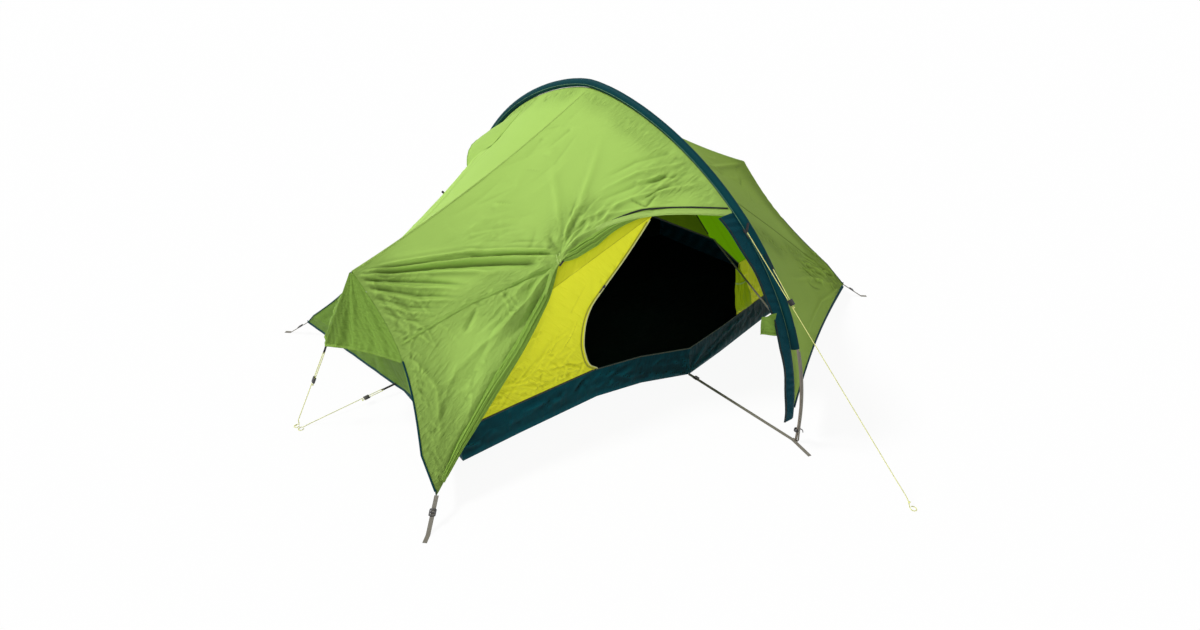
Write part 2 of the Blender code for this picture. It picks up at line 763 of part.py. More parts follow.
def door_roll():
    """The door cloth, rolled up along the edge of the opening and thin where it is tied."""
    half = ROLL_STEPS // 2
    before_tie = [mix(ROLL_START, TIE_SHARE - TIE_REACH, i / half) for i in range(half + 1)]
    after_tie = [mix(TIE_SHARE + TIE_REACH, ROLL_FINISH, i / half) for i in range(half + 1)]
    tied, slim = door_roll_centre(TIE_SHARE)
    straight = tie_axis() * (TAPE_WIDTH * 0.8)
    centres = [door_roll_centre(u) for u in before_tie]
    centres += [(tied - straight, slim), (tied + straight, slim)]
    centres += [door_roll_centre(u) for u in after_tie]
    rings = []
    for i, (centre, radius) in enumerate(centres):
        at_tie = half < i <= half + 2
        before = centres[max(i - 1, 0)][0]
        after = centres[min(i + 1, len(centres) - 1)][0]
        tangent = tie_axis() if at_tie else (after - before).normalized()
        across = tangent.cross(Z_AXIS).normalized()
        up = across.cross(tangent)
        rings.append(oval_ring(centre, across, up, radius, radius, ROLL_SIDES))
    loft("door_roll", rings, GREEN)


def door_tie():
    """The tape round the rolled door, and the toggle that holds it."""
    centre, radius = door_roll_centre(TIE_SHARE)
    axis = tie_axis()
    inner = radius + TIE_CLEAR
    outer = inner + WEBBING
    band = plate("door_tie_loop", [circle(outer, TIE_SIDES), circle(inner, TIE_SIDES)], TAPE_WIDTH, GREEN)
    out = (TIE_FACING - axis * axis.dot(TIE_FACING)).normalized()
    place(band, centre, out, axis.cross(out))
    bpy.ops.mesh.primitive_cylinder_add(vertices=TOGGLE_SIDES, radius=TOGGLE_RADIUS, depth=TOGGLE_LENGTH)
    toggle = bpy.context.object
    toggle.name = "door_toggle"
    toggle.data.name = "door_toggle"
    toggle.data.materials.append(PLASTIC)
    adopt(toggle)
    seat = outer + FIT + TOGGLE_RADIUS
    place(toggle, centre + out * seat, out, axis.cross(out))


def adopt(thing):
    """Move an object that an operator made into the tent's collection."""
    for owner in list(thing.users_collection):
        owner.objects.unlink(thing)
    tent.objects.link(thing)


def zip_flap():
    """The strip beside the sleeve that the porch door zips to, hanging free at its foot."""
    grid = []
    for i in range(FLAP_STEPS + 1):
        share = mix(DOOR_TOP + FLAP_START_GAP, FLAP_END, i / FLAP_STEPS)
        point, normal = arch_share_frame(share)
        line = []
        for j in range(FLAP_COLUMNS + 1):
            out = j / FLAP_COLUMNS
            x = -(SLEEVE_HALF_WIDTH + SEAM + FLAP_WIDTH * out)
            wave = FLAP_WAVE * out * out * math.sin(i * FLAP_WAVE_TURN)
            line.append(point + X_AXIS * x - normal * (FLAP_TURN * out * out) + normal * wave)
        grid.append(line)
    cloth("zip_flap", grid, TEAL)


def arch_share_frame(share):
    """Point and outward normal of the arch on the door side, at a share of the quarter."""
    step = 0.004
    point = arch_share_point(share, -1.0)
    tangent = arch_share_point(share + step, -1.0) - arch_share_point(share - step, -1.0)
    tangent.normalize()
    return point, Vector((0.0, tangent.z, -tangent.y))


def zip_slider(name, seat, along, normal, pivot):
    """A zip's slider with its pull tab, lying on the tape, with its origin on the pivot."""
    sideways = along.cross(normal).normalized()
    rings = []
    for y, half_width, height in SLIDER_SHAPE:
        middle = seat + along * y
        side = sideways * half_width
        top = normal * height
        rings.append([middle - side, middle + side, middle + side + top, middle - side + top])
    slider = loft(name, rings, PLASTIC, False)
    slider.data.transform(Matrix.Translation(-pivot))
    slider.location = pivot


def circle_centre(a, b, c):
    """Centre of the circle through three points of the plane x = 0."""
    chord_b = b - a
    chord_c = c - a
    determinant = 2.0 * (chord_b.y * chord_c.z - chord_b.z * chord_c.y)
    square_b = chord_b.length_squared
    square_c = chord_c.length_squared
    y = (square_b * chord_c.z - square_c * chord_b.z) / determinant
    z = (square_c * chord_b.y - square_b * chord_c.y) / determinant
    return a + Vector((0.0, y, z))


def outer_zip_slider():
    """The porch door's slider, at the top of the flap, turning about the curve it follows."""
    middle_share = mix(SLIDER_SHARE, SLIDER_LOW_SHARE, 0.5)
    start, middle, low = (arch_share_point(share, -1.0)
                          for share in (SLIDER_SHARE, middle_share, SLIDER_LOW_SHARE))
    pivot = circle_centre(start, middle, low)
    offset = X_AXIS * -(SLEEVE_HALF_WIDTH + SEAM + SLIDER_INSET)
    normal = (start - pivot).normalized()
    along = X_AXIS.cross(normal)
    if along.z > 0:
        along = -along
    seat = start + offset + normal * (CLOTH / 2 + OUTER_SLIDER_GAP)
    zip_slider("zip_slider_outer", seat, along, normal, pivot + offset)


def rear_surface(u, share):
    """The rear left quarter of the flysheet, under the vent."""
    return canopy_point(u, share, -1.0, 1.0)


def vent_hood():
    """A stiffened scoop over the vent high on the rear of the flysheet."""
    grid = []
    for i in range(VENT_ROWS + 1):
        down = i / VENT_ROWS
        share = mix(VENT_TOP, VENT_MOUTH, down)
        line = []
        for j in range(-VENT_COLUMNS, VENT_COLUMNS + 1):
            across = j / VENT_COLUMNS
            u = mix(VENT_NEAR, VENT_FAR, (across + 1) / 2)
            point, normal = surface_frame(rear_surface, u, share)
            lift = VENT_LIFT * (1.0 - across * across) * down ** VENT_SPRING
            line.append(point + normal * (CLOTH + VENT_CLEAR + lift))
        grid.append(line)
    cloth("vent_hood", grid, GREEN)


# Inner tent
def between(stations, where):
    """A straight-line value at one place, through (place, value) pairs."""
    for (x0, v0), (x1, v1) in zip(stations, stations[1:]):
        if where <= x1:
            return mix(v0, v1, (where - x0) / (x1 - x0))
    return stations[-1][1]


def floor_y(x):
    """Half the floor's width at one place along the tent."""
    return FLOOR_HALF_WIDTH + FLOOR_PULL_OUT * through(PULL, x)


def tub_top(x, side):
    """The top edge of the tub on one long side."""
    return Vector((x, side * (floor_y(x) - TUB_LEAN), TUB_HEIGHT))


def shoulder(x, side):
    """The line where a long wall meets the roof."""
    line = FRONT_SHOULDER if side < 0 else REAR_SHOULDER
    y = between([(s[0], s[1]) for s in line], x)
    z = between([(s[0], s[2]) for s in line], x)
    return Vector((x, side * y, z))


def ridge(x):
    """The top line of the inner tent."""
    share = abs(x) / FLOOR_HALF_LENGTH
    sag = INNER_RIDGE_SAG * 4.0 * share * (1.0 - share)
    return Vector((x, 0.0, mix(RIDGE_HEIGHT, RIDGE_END_HEIGHT, share) - sag))


def inner_tub():
    """The tray floor: a flat sheet with its edge turned up all round."""
    stations = sorted([s[0] for s in PULL] + list(TUB_EXTRA_X))
    grid = []
    for x in stations:
        half = floor_y(x)
        grid.append([Vector((x, half * share, CLOTH / 2)) for share in (-1.0, -0.5, 0.0, 0.5, 1.0)])
    points = [p for line in grid for p in line]
    tub = add_mesh("inner_tub", points, grid_faces(len(grid), len(grid[0])), TEAL)
    work = bmesh.new()
    work.from_mesh(tub.data)
    rim = [edge for edge in work.edges if edge.is_boundary]
    raised = bmesh.ops.extrude_edge_only(work, edges=rim)["geom"]
    for vertex in (g for g in raised if isinstance(g, bmesh.types.BMVert)):
        x, y, z = vertex.co
        vertex.co.z = TUB_HEIGHT
        if abs(y) > FLOOR_HALF_WIDTH - SEAM:
            vertex.co.y -= math.copysign(TUB_LEAN, y)
        if abs(x) > FLOOR_HALF_LENGTH - SEAM:
            vertex.co.x -= math.copysign(TUB_LEAN, x)
    work.to_mesh(tub.data)
    work.free()
    thicken(tub, CLOTH)


def wall_point(x, share, side):
    """A point of a long wall, at a share of its height from the tub to the shoulder."""
    low = tub_top(x, side) + Z_AXIS * SEAM
    high = shoulder(x, side)
    return mix(low, toward(high, low, SEAM), share)


def end_wall_top(y_share, end):
    """The top edge of an inner end wall, from one shoulder over the ridge to the other."""
    side = -1.0 if y_share < 0 else 1.0
    x = end * FLOOR_HALF_LENGTH
    peak = ridge(x)
    return mix(peak, shoulder(x, side), abs(y_share)) - Z_AXIS * SEAM


def inner_wall(name, end, door_x, columns):
    """A front panel from the door's edge to the corner, carried on round the end."""
    rows = WALL_ROWS
    end_columns = WALL_END_COLUMNS
    top_x = end * (FLOOR_HALF_LENGTH - TUB_LEAN)
    grid = []
    for i in range(rows + 1):
        up = i / rows
        line = []
        for j in range(columns + 1):
            line.append(wall_point(mix(door_x(up), top_x, j / columns), up, -1.0))
        for j in range(1, end_columns + 1):
            y_share = mix(-1.0, 1.0, j / end_columns)
            low_y = y_share * (FLOOR_HALF_WIDTH - TUB_LEAN)
            low = Vector((top_x, low_y, TUB_HEIGHT + SEAM))
            high = end_wall_top(y_share, end)
            high.x = top_x
            line.append(mix(low, high, up))
        grid.append(line)
    cloth(name, grid, YELLOW)


def inner_roof():
    """The roof and the rear wall of the inner tent, one sheet over the ridge."""
    reach = FLOOR_HALF_LENGTH - TUB_LEAN - SEAM
    grid = []
    for station in ROOF_STATIONS:
        x = station * reach
        front = shoulder(x, -1.0)
        top = ridge(x)
        rear = shoulder(x, 1.0)
        foot = tub_top(x, 1.0) + Z_AXIS * SEAM
        swell = ROOF_SWELL * (1.0 - abs(station))
        line = [toward(front, mix(front, top, 0.5), SEAM)]
        line.append(mix(front, top, 0.33) + Vector((0, -0.5, 0.87)) * swell)
        line.append(mix(front, top, 0.67) + Vector((0, -0.3, 0.95)) * swell)
        line.append(top)
        line.append(mix(rear, top, 0.67) + Vector((0, 0.3, 0.95)) * swell)
        line.append(mix(rear, top, 0.33) + Vector((0, 0.5, 0.87)) * swell)
        line.append(rear)
        line.append(mix(rear, foot, 0.5))
        line.append(foot)
        grid.append(line)
    cloth("inner_roof", grid, YELLOW)


def inner_door_roll():
    """The inner door, gathered and hung at the right of its opening."""
    rings = []
    for down, half_width, half_depth in GATHER:
        centre = wall_point(DOOR_RIGHT_X, mix(GATHER_TOP, GATHER_FOOT, down), -1.0)
        centre = centre - Y_AXIS * (half_depth + CLOTH / 2 + GATHER_GAP)
        centre.x = mix(GATHER_START_X, GATHER_FINISH_X, down)
        rings.append(oval_ring(centre, X_AXIS, -Y_AXIS, half_width, half_depth, GATHER_SIDES))
    loft("inner_door_roll", rings, YELLOW)


def zip_line_point(share):
    """The middle of the inner door's zip, at a share of the wall's height."""
    return wall_point(through(DOOR_LEFT, share) - SLIDER_INSET, share, -1.0)


def inner_zip_slider():
    """The inner door's slider, on the straight run of the door's left edge."""
    seat = zip_line_point(INNER_SLIDER_HEIGHT)
    top = zip_line_point(INNER_SLIDER_TOP)
    along = (seat - top).normalized()
    sideways = wall_point(seat.x + SLIDER_INSET, INNER_SLIDER_HEIGHT, -1.0) - seat
    normal = sideways.cross(along).normalized()
    if normal.y > 0:
        normal = -normal
    zip_slider("zip_slider_inner", seat + normal * (CLOTH / 2 + SLIDER_GAP), along, normal, seat)


def hanger():
    """The tape that hangs the top of the inner door from the flysheet."""
    low = shoulder(DOOR_PEAK_X, -1.0) + Z_AXIS * (CLOTH + FIT)
    high, normal = surface_frame(door_surface, HANGER_U, HANGER_SHARE)
    high = high - normal * (CLOTH / 2 + FIT + TAPE_WIDTH * 0.4)
    strap("inner_hanger", [low, mix(low, high, 0.5), high], X_AXIS, BLACK, TAPE_WIDTH)


def tension_band():
    """The band from the inner tent's front shoulder down to the arch."""
    low_index = SLEEVE_BARE_STEPS + 1
    point, tangent, normal = arch_frame(low_index)
    low = point - normal * (ARCH_SEAM_DROP + BAND_SEAT)
    high = shoulder(BAND_X, -1.0)
    high = high - Y_AXIS * (CLOTH + FIT * 2)
    strap("tension_band", [high, mix(high, low, 0.5), low], X_AXIS, GREY, BAND_WIDTH)


# Straps and pegging points
def foot_strap(name, side):
    """The strap under a pole foot, carried up the outside of the bare pole to the sleeve."""
    out = side
    seat = WEBBING * 1.5 + FIT
    lift = POLE_RADIUS + FIT + WEBBING / 2
    foot = abs(pole_point(0).y)
    heel = foot + POLE_RADIUS * 2
    path = [Vector((0.0, out * (foot - POLE_RADIUS * 3), seat))]
    path.append(Vector((0.0, out * heel, seat)))
    path.append(Vector((0.0, out * (heel + WEBBING), seat + WEBBING * 3)))
    for index in range(1, SLEEVE_BARE_STEPS):
        point = pole_point(index) + arch_frame(index)[2] * lift
        path.append(Vector((0.0, out * abs(point.y), point.z)))
    _, tangent, normal = arch_frame(SLEEVE_BARE_STEPS)
    point = pole_point(SLEEVE_BARE_STEPS) + normal * lift - tangent * (FIT * 2)
    path.append(Vector((0.0, out * abs(point.y), point.z)))
    strap(name, path, X_AXIS, GREY, FOOT_STRAP_WIDTH)


def buckle(name, origin, across, down, normal):
    """A ladder-lock with three bars, hinged just inside the edge of its top bar."""
    centre = (0.0, BUCKLE_LENGTH / 2 - BUCKLE_PIVOT)
    outlines = [rounded(BUCKLE_WIDTH, BUCKLE_LENGTH, BUCKLE_CORNER, centre)]
    window = (BUCKLE_LENGTH - 3 * BUCKLE_BAR) / 2
    for step in (0, 1):
        middle = (BUCKLE_BAR + window) * (step + 1) - window / 2 - BUCKLE_PIVOT
        outlines.append(rounded(BUCKLE_SLOT, window, SEAM, (0.0, middle), 1))
    thing = plate(name, outlines, BUCKLE_THICKNESS, PLASTIC)
    seat = origin + normal * (WEBBING / 2 + FIT + BUCKLE_THICKNESS / 2)
    place(thing, seat, across, down)


def corner_strap(name, end, side):
    """The webbing from a flysheet corner to its pegging point, with its ladder-lock."""
    corner = end_point(FLY_HALF_LENGTH, FLY_HALF_WIDTH, CORNER_HEIGHT, end, side)
    peg = end_point(PEG_X, PEG_Y, WEBBING / 2, end, side)
    out = (peg - corner).normalized()
    start = corner + out * FIT
    flat = Vector((out.x, out.y, 0.0)).normalized()
    touch = peg - flat * PEG_FLAT
    across = flat.cross(Z_AXIS)
    strap(f"{name}_strap", [start, mix(start, touch, 0.5), touch, peg], across, GREY)
    down = (touch - start).normalized()
    normal = across.cross(down).normalized()
    if normal.z < 0:
        normal = -normal
    buckle(f"{name}_buckle", mix(start, touch, CORNER_BUCKLE_SHARE), down.cross(normal), down, normal)


def floor_strap(name, side):
    """The strap that draws the middle of the floor out to the arch foot, with its buckle."""
    z = WEBBING / 2
    start = Vector((0.0, side * (floor_y(0.0) + CLOTH / 2 + FIT), z))
    turn = Vector((STRAP_TURN_X, side * (abs(pole_point(0).y) - STRAP_TURN_SHORT), z))
    finish = Vector((STRAP_END_X, side * STRAP_REACH_Y, z))
    strap(f"{name}_strap", [start, mix(start, turn, 0.5), turn, finish], X_AXIS, GREY)
    down = (turn - start).normalized()
    across = down.cross(Z_AXIS)
    buckle(f"{name}_buckle", start + down * FLOOR_BUCKLE_START, across, down, Z_AXIS)


# Guylines
def tab(name, start, finish, across, material):
    """A loop of tape: two layers a cord apart, closed round at both ends."""
    along = (finish - start).normalized()
    length = (finish - start).length
    gap = CORD_DIAMETER + FIT * 2
    outer = rounded(length, gap + 2 * WEBBING, gap / 2 + WEBBING - FIT, (0.0, 0.0), 3)
    inner = rounded(length - 2 * WEBBING, gap, gap / 2 - FIT, (0.0, 0.0), 3)
    thing = plate(name, [outer, inner], TAPE_WIDTH, material)
    normal = across.cross(along).normalized()
    place(thing, mix(start, finish, 0.5), along, normal)
    return thing


def runner(name, centre, along, across, slots):
    """A line runner: a block with a hole or slot for each strand."""
    holes = []
    left = min(x - w / 2 for x, w in slots)
    right = max(x + w / 2 for x, w in slots)
    for x, w in slots:
        if w > RUNNER_HOLE:
            holes.append(rounded(w, RUNNER_HOLE, RUNNER_HOLE / 2 - FIT, (x, 0.0), 3))
        else:
            holes.append(circle(RUNNER_HOLE / 2, 10, (x, 0.0)))
    width = right - left + 2 * RUNNER_WALL
    outline = rounded(width, RUNNER_DEPTH, RUNNER_WALL, ((left + right) / 2, 0.0))
    thing = plate(name, [outline] + holes, RUNNER_LENGTH, PLASTIC)
    across = (across - along * across.dot(along)).normalized()
    place(thing, centre, across, along.cross(across))
    return thing


def peg_loop(centre, toward_tent, height):
    """Points round a pegging loop that lies on the ground, from the side the cord comes in."""
    start = math.atan2(toward_tent.y, toward_tent.x) + (2 * math.pi - PEG_LOOP_TURN) / 2
    points = []
    for i in range(PEG_LOOP_STEPS + 1):
        turn = start + PEG_LOOP_TURN * i / PEG_LOOP_STEPS
        x = centre[0] + PEG_LOOP_RADIUS * math.cos(turn)
        y = centre[1] + PEG_LOOP_RADIUS * math.sin(turn)
        points.append(Vector((x, y, height)))
    return points


def sleeve_tab(name, end, share):
    """A guyline tab from the sleeve out to the point where its cord is tied."""
    point, normal = arch_share_frame(share)
    height = SLEEVE_HALF_HEIGHT * math.sqrt(1.0 - (SLEEVE_TAB_X / SLEEVE_HALF_WIDTH) ** 2)
    start = point + normal * (height + SLEEVE_TAB_LIFT) + X_AXIS * SLEEVE_TAB_X
    tab(name, start, end, arch_tangent(share), BLACK)


def front_guyline():
    """The long guyline from the arch, its short branch, and the runner where they meet."""
    upper = arch_share_point(UPPER_TAB_SHARE, -1.0) + UPPER_TAB_REACH
    lower = arch_share_point(LOWER_TAB_SHARE, -1.0) + LOWER_TAB_REACH
    sleeve_tab("sleeve_tab_upper", upper, UPPER_TAB_SHARE)
    sleeve_tab("sleeve_tab_lower", lower, LOWER_TAB_SHARE)
    ground = CORD_DIAMETER / 2 + FIT
    peg = Vector((*FRONT_PEG, ground))
    along = (peg - upper).normalized()
    route = [upper + along * UPPER_CORD_SEAT]
    route += [mix(upper, peg, share) for share in (0.25, 0.5, 0.75, 0.9, 0.965)]
    route += peg_loop(FRONT_PEG, -along, ground)
    cord("front_guyline", straight_then_smooth(route, 6))
    centre = upper + along * FRONT_RUNNER_REACH
    lead = (lower - upper) - along * (lower - upper).dot(along)
    side_axis = lead.normalized()
    drift = math.tan((centre - lower).angle(along))
    slot_width = RUNNER_HOLE + drift * (RUNNER_TRAVEL + RUNNER_LENGTH) + BRANCH_CLEAR * 2
    slot_start = RUNNER_HOLE / 2 + RUNNER_WALL / 2
    slot = (slot_start + slot_width / 2, slot_width)
    runner("front_guyline_runner", centre, along, side_axis, [(0.0, RUNNER_HOLE), slot])
    inside = slot_start + RUNNER_HOLE / 2 + BRANCH_CLEAR + drift * RUNNER_LENGTH / 2
    crossing = centre + side_axis * inside
    aim = (crossing - lower).normalized()
    first = lower + aim * LOWER_CORD_SEAT
    finish = crossing + aim * (RUNNER_LENGTH / 2 + BRANCH_TAIL)
    cord("front_guyline_branch", [mix(first, finish, i / 8) for i in range(9)])


def arch_tangent(share):
    """Direction of the arch on the door side, downwards."""
    step = 0.004
    return (arch_share_point(share + step, -1.0) - arch_share_point(share - step, -1.0)).normalized()


def straight_then_smooth(route, straight):
    """The first points as they are, and a smooth line through the rest."""
    return route[:straight - 1] + smooth_line(route[straight - 1:], 18)


def doubled_guyline(name, hook, runner_share, peg):
    """A cord that runs from its knot up round a hook point, back through a runner and on to a peg."""
    height = CORD_DIAMETER / 2 + FIT
    ground = Vector((*peg, height))
    along = (ground - hook).normalized()
    across = (Y_AXIS - along * Y_AXIS.dot(along)).normalized()
    half = across * (CORD_SPACING / 2)
    centre = mix(hook, ground, runner_share)
    route = [centre - half + along * (RUNNER_LENGTH / 2 + STRAND_TAIL)]
    route.append(mix(route[0], hook - half, 0.5))
    radius = CORD_SPACING / 2
    for i in range(9):
        turn = math.pi * i / 8
        route.append(hook - across * (radius * math.cos(turn)) - along * (radius * math.sin(turn)))
    low = mix(hook, ground, 0.93) + half
    route.append(mix(hook + half, low, 0.3))
    route.append(mix(hook + half, low, 0.65))
    route.append(low)
    route += peg_loop(peg, -along, height)
    cord(name, route[:13] + smooth_line(route[13:], 14))
    slots = [(-CORD_SPACING / 2, RUNNER_HOLE), (CORD_SPACING / 2, RUNNER_HOLE)]
    runner(f"{name}_runner", centre, along, across, slots)


def end_guylines():
    """The tabs at both ends of the tent, and the two cords at the left end."""
    bend = CORD_SPACING / 2
    inside = bend - CORD_DIAMETER / 2 - FIT
    hang = WEBBING - math.sqrt(inside ** 2 - (TAPE_WIDTH / 2) ** 2) + FIT
    for side_name, end in (("left", -1.0), ("right", 1.0)):
        tip = strut_tip(end)
        down = (end_point(-END_PEG[0], 0.0, 0.0, end) - tip).normalized()
        start = tip + down * FIT
        tab(f"tip_tab_{side_name}", start, start + down * TIP_TAB_LENGTH, Y_AXIS, BLACK)
        base = end_point(END_BASE_X + CLOTH + WEBBING * 2, 0.0, BASE_TAB_HEIGHT, end)
        out = (end_point(-BASE_PEG[0], 0.0, 0.0, end) - base).normalized()
        tab(f"base_tab_{side_name}", base, base + out * BASE_TAB_LENGTH, Y_AXIS, BLACK)
        if end < 0:
            tip_hook = start + down * (TIP_TAB_LENGTH - hang)
            base_hook = base + out * (BASE_TAB_LENGTH - hang)
            doubled_guyline("end_guyline", tip_hook, END_RUNNER_SHARE, END_PEG)
            doubled_guyline("base_guyline", base_hook, BASE_RUNNER_SHARE, BASE_PEG)


for section in range(POLE_SECTIONS):
    pole_section(section)
arch_sleeve()
canopy("fly_front_left", -1.0, -1.0, door_share, 18, 20, door_fold)
canopy("fly_front_right", 1.0, -1.0, hem_share, 10, 14)
canopy("fly_rear_left", -1.0, 1.0, hem_share, 10, 14)
canopy("fly_rear_right", 1.0, 1.0, hem_share, 10, 14)
for side_name, end in (("left", -1.0), ("right", 1.0)):
    hood(f"fly_hood_{side_name}", end)
    end_wall(f"fly_end_wall_{side_name}", end)
    strut(f"end_strut_{side_name}", end)
door_roll()
door_tie()
zip_flap()
outer_zip_slider()
vent_hood()
inner_tub()
inner_wall("inner_wall_left", -1.0, lambda up: through(DOOR_LEFT, up), WALL_LEFT_COLUMNS)
inner_wall("inner_wall_right", 1.0, lambda up: DOOR_RIGHT_X, WALL_RIGHT_COLUMNS)
inner_roof()
inner_door_roll()
inner_zip_slider()
hanger()
tension_band()
for name, side in (("front", -1.0), ("rear", 1.0)):
    foot_strap(f"foot_strap_{name}", side)
    floor_strap(f"floor_{name}", side)
for name, end, side in (("front_left", -1.0, -1.0), ("front_right", 1.0, -1.0),
                        ("rear_left", -1.0, 1.0), ("rear_right", 1.0, 1.0)):
    corner_strap(f"corner_{name}", end, side)
front_guyline()
end_guylines()
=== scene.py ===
import math

import bmesh
import bpy
import numpy as np
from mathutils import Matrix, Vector


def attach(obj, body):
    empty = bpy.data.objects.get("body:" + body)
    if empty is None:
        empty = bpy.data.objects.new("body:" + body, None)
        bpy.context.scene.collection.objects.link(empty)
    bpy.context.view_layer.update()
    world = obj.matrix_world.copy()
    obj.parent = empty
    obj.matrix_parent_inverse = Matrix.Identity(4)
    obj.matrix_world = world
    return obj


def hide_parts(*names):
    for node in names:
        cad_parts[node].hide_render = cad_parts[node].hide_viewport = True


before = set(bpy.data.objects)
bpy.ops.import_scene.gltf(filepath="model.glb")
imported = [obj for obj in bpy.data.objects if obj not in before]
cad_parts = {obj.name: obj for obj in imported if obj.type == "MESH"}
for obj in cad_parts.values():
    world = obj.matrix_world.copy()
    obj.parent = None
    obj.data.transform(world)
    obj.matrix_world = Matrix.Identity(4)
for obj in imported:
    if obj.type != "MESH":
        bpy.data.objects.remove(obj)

for thing in bpy.context.selected_objects:
    thing.select_set(False)
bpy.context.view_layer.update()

# Measures repeated from the tent's own source, in metres
ARCH_HALF_SPAN, ARCH_HEIGHT = 1.250, 1.1395
ARCH_ACROSS_POWER, ARCH_UP_POWER = 2 / 1.623, 2 / 2.259
SLEEVE_HALF_WIDTH, SLEEVE_HALF_HEIGHT, POLE_RADIUS = 0.016, 0.0175, 0.0045
FIT = 0.0003
POLE_SEAT = SLEEVE_HALF_HEIGHT - 0.0008 - FIT - POLE_RADIUS
ARCH_SEAM_X, ARCH_SEAM_DROP = 0.002, 0.0186
FLY_HALF_LENGTH, FLY_HALF_WIDTH, CORNER_HEIGHT = 1.207, 0.715, 0.065
FLOOR_HALF_LENGTH, FLOOR_HALF_WIDTH, TUB_HEIGHT, TUB_LEAN = 1.040, 0.562, 0.135, 0.012
DOOR_PEAK_X, BAND_X, DOOR_RIGHT_X = -0.172, 0.146, 0.385
RIDGE_HEIGHT = ARCH_HEIGHT - 0.0895
TIE_SHARE, TIE_DOWN = 0.476, 0.431
WEBBING, WEBBING_WIDTH, TAPE_WIDTH = 0.0014, 0.015, 0.008
CORD_DIAMETER, CLOTH = 0.003, 0.0006
TIP_PEG_X, BASE_PEG_X, WALL_BASE_X = 1.458, 1.450, 1.055
BASE_TAB_X = WALL_BASE_X + 0.001 + WEBBING * 2
FOOT_Y = 1.2619
X_AXIS, Y_AXIS, Z_AXIS = np.eye(3)
INSIDE, MIDDLE = np.array([[0, 0, 0.2], [0, 0, 0.25]])
ENDS = ((-1, "left"), (1, "right"))
SIDES = ((-1, "front"), (1, "rear"))


# Lines and surfaces of the tent
def unit(v):
    """Vectors at length one."""
    return v / np.maximum(np.linalg.norm(v, axis=-1, keepdims=True), 1e-12)


def mix(a, b, share):
    """Part of the way from a to b."""
    return a + (b - a) * share


def dot(a, b):
    """Product of two sets of vectors, kept as a column."""
    return np.sum(a * b, axis=-1, keepdims=True)


def by(amount, axis):
    """A vector along an axis for each amount."""
    return np.asarray(amount)[..., None] * axis


def rise(value, low, high):
    """0 below one value, 1 above another, and even between them."""
    return np.clip((value - low) / (high - low), 0, 1)


def through(stations, where):
    """A smooth curve through (place, value) pairs, read at many places."""
    place, value = np.array(stations, float).T
    count = len(place)
    low = np.maximum(np.arange(count) - 1, 0)
    high = np.minimum(np.arange(count) + 1, count - 1)
    slope = (value[high] - value[low]) / (place[high] - place[low])
    where = np.clip(where, place[0], place[-1])
    i = np.clip(np.searchsorted(place, where, side="right") - 1, 0, count - 2)
    span = place[i + 1] - place[i]
    t = (where - place[i]) / span
    start = (1 + 2 * t) * (1 - t) ** 2 * value[i] + t * (1 - t) ** 2 * span * slope[i]
    return start + t * t * (3 - 2 * t) * value[i + 1] + t * t * (t - 1) * span * slope[i + 1]


def straight(stations, where):
    """A straight-line curve through (place, value) pairs."""
    place, value = np.array(stations, float).T
    return np.interp(where, place, value)


def lengths(path):
    """Distance along a path at each of its points."""
    return np.concatenate([[0.0], np.cumsum(np.linalg.norm(np.diff(path, axis=0), axis=1))])


def read(curve, reach, path, where):
    """Points of a path at many places, by the straight or the smooth curve."""
    return np.stack([curve(list(zip(reach, path[:, k])), where) for k in range(path.shape[1])], -1)


def arch(share, side):
    """The pole's centre line, at a share from the top down to the ground."""
    angle = np.asarray(share, float) * math.pi / 2
    across = ARCH_HALF_SPAN * np.abs(np.sin(angle)) ** ARCH_ACROSS_POWER
    up = ARCH_HEIGHT * np.abs(np.cos(angle)) ** ARCH_UP_POWER
    return np.stack([0 * across, side * across * np.where(angle < 0, -1, 1), up], -1)


def arch_frame(share, side, step=0.004):
    """Direction of the arch down one side, and outward from it."""
    tangent = unit(arch(share + step, side) - arch(share - step, side))
    return tangent, np.stack([0 * tangent[..., 0], -side * tangent[..., 2], side * tangent[..., 1]], -1)


def arch_line(count, first=5, last=43, steps=48):
    """Points along the arch at even lengths, with outward normals, between two stations of the source."""
    line = arch(np.linspace(-1, 1, 4001), 1)
    reach = lengths(line)
    path = read(straight, reach, line, np.linspace(reach[-1] * first / steps, reach[-1] * last / steps, count))
    tangent = unit(np.gradient(path, axis=0))
    return path, np.stack([0 * tangent[:, 0], -tangent[:, 2], tangent[:, 1]], -1)


def apex(end):
    """Top of an end strut."""
    return np.array([end * 1.130, 0.0, 0.588 if end < 0 else 0.610])


def strut_tip(end):
    """Lower end of an end strut."""
    return np.array([end * 1.283, 0.0, 0.317])


def corner(end, side):
    """Lower corner of the flysheet."""
    return np.array([end * FLY_HALF_LENGTH, side * FLY_HALF_WIDTH, CORNER_HEIGHT])


def arris(share, end, side):
    """The end edge of the flysheet, from the apex down to a corner."""
    share = np.asarray(share, float)
    bow = 0.055 * np.sin(math.pi * np.minimum(share / 0.84, 1.0))
    return apex(end) + by(share, corner(end, side) - apex(end)) - by(end * bow, X_AXIS)


def canopy(u, share, end, side):
    """A quarter of the flysheet before its folds."""
    u, share = np.broadcast_arrays(np.asarray(u, float), np.asarray(share, float))
    seam = arch(share, side) - arch_frame(share, side)[1] * ARCH_SEAM_DROP + X_AXIS * (end * ARCH_SEAM_X)
    angle = share * math.pi / 2
    inward = np.stack([0 * angle, -side * np.sin(angle), -np.cos(angle)], -1)
    sag = 0.032 * 4 * u * (1 - u) * (1 - np.maximum(share, 0) ** 6)
    return mix(seam, arris(share, end, side), u[..., None]) + inward * sag[..., None]


DOOR_EDGE = [(0.0, 0.534), (0.20, 0.442), (0.333, 0.412), (TIE_SHARE, TIE_DOWN),
             (0.563, 0.500), (0.764, 0.672), (0.884, 0.820), (1.0, 1.0)]


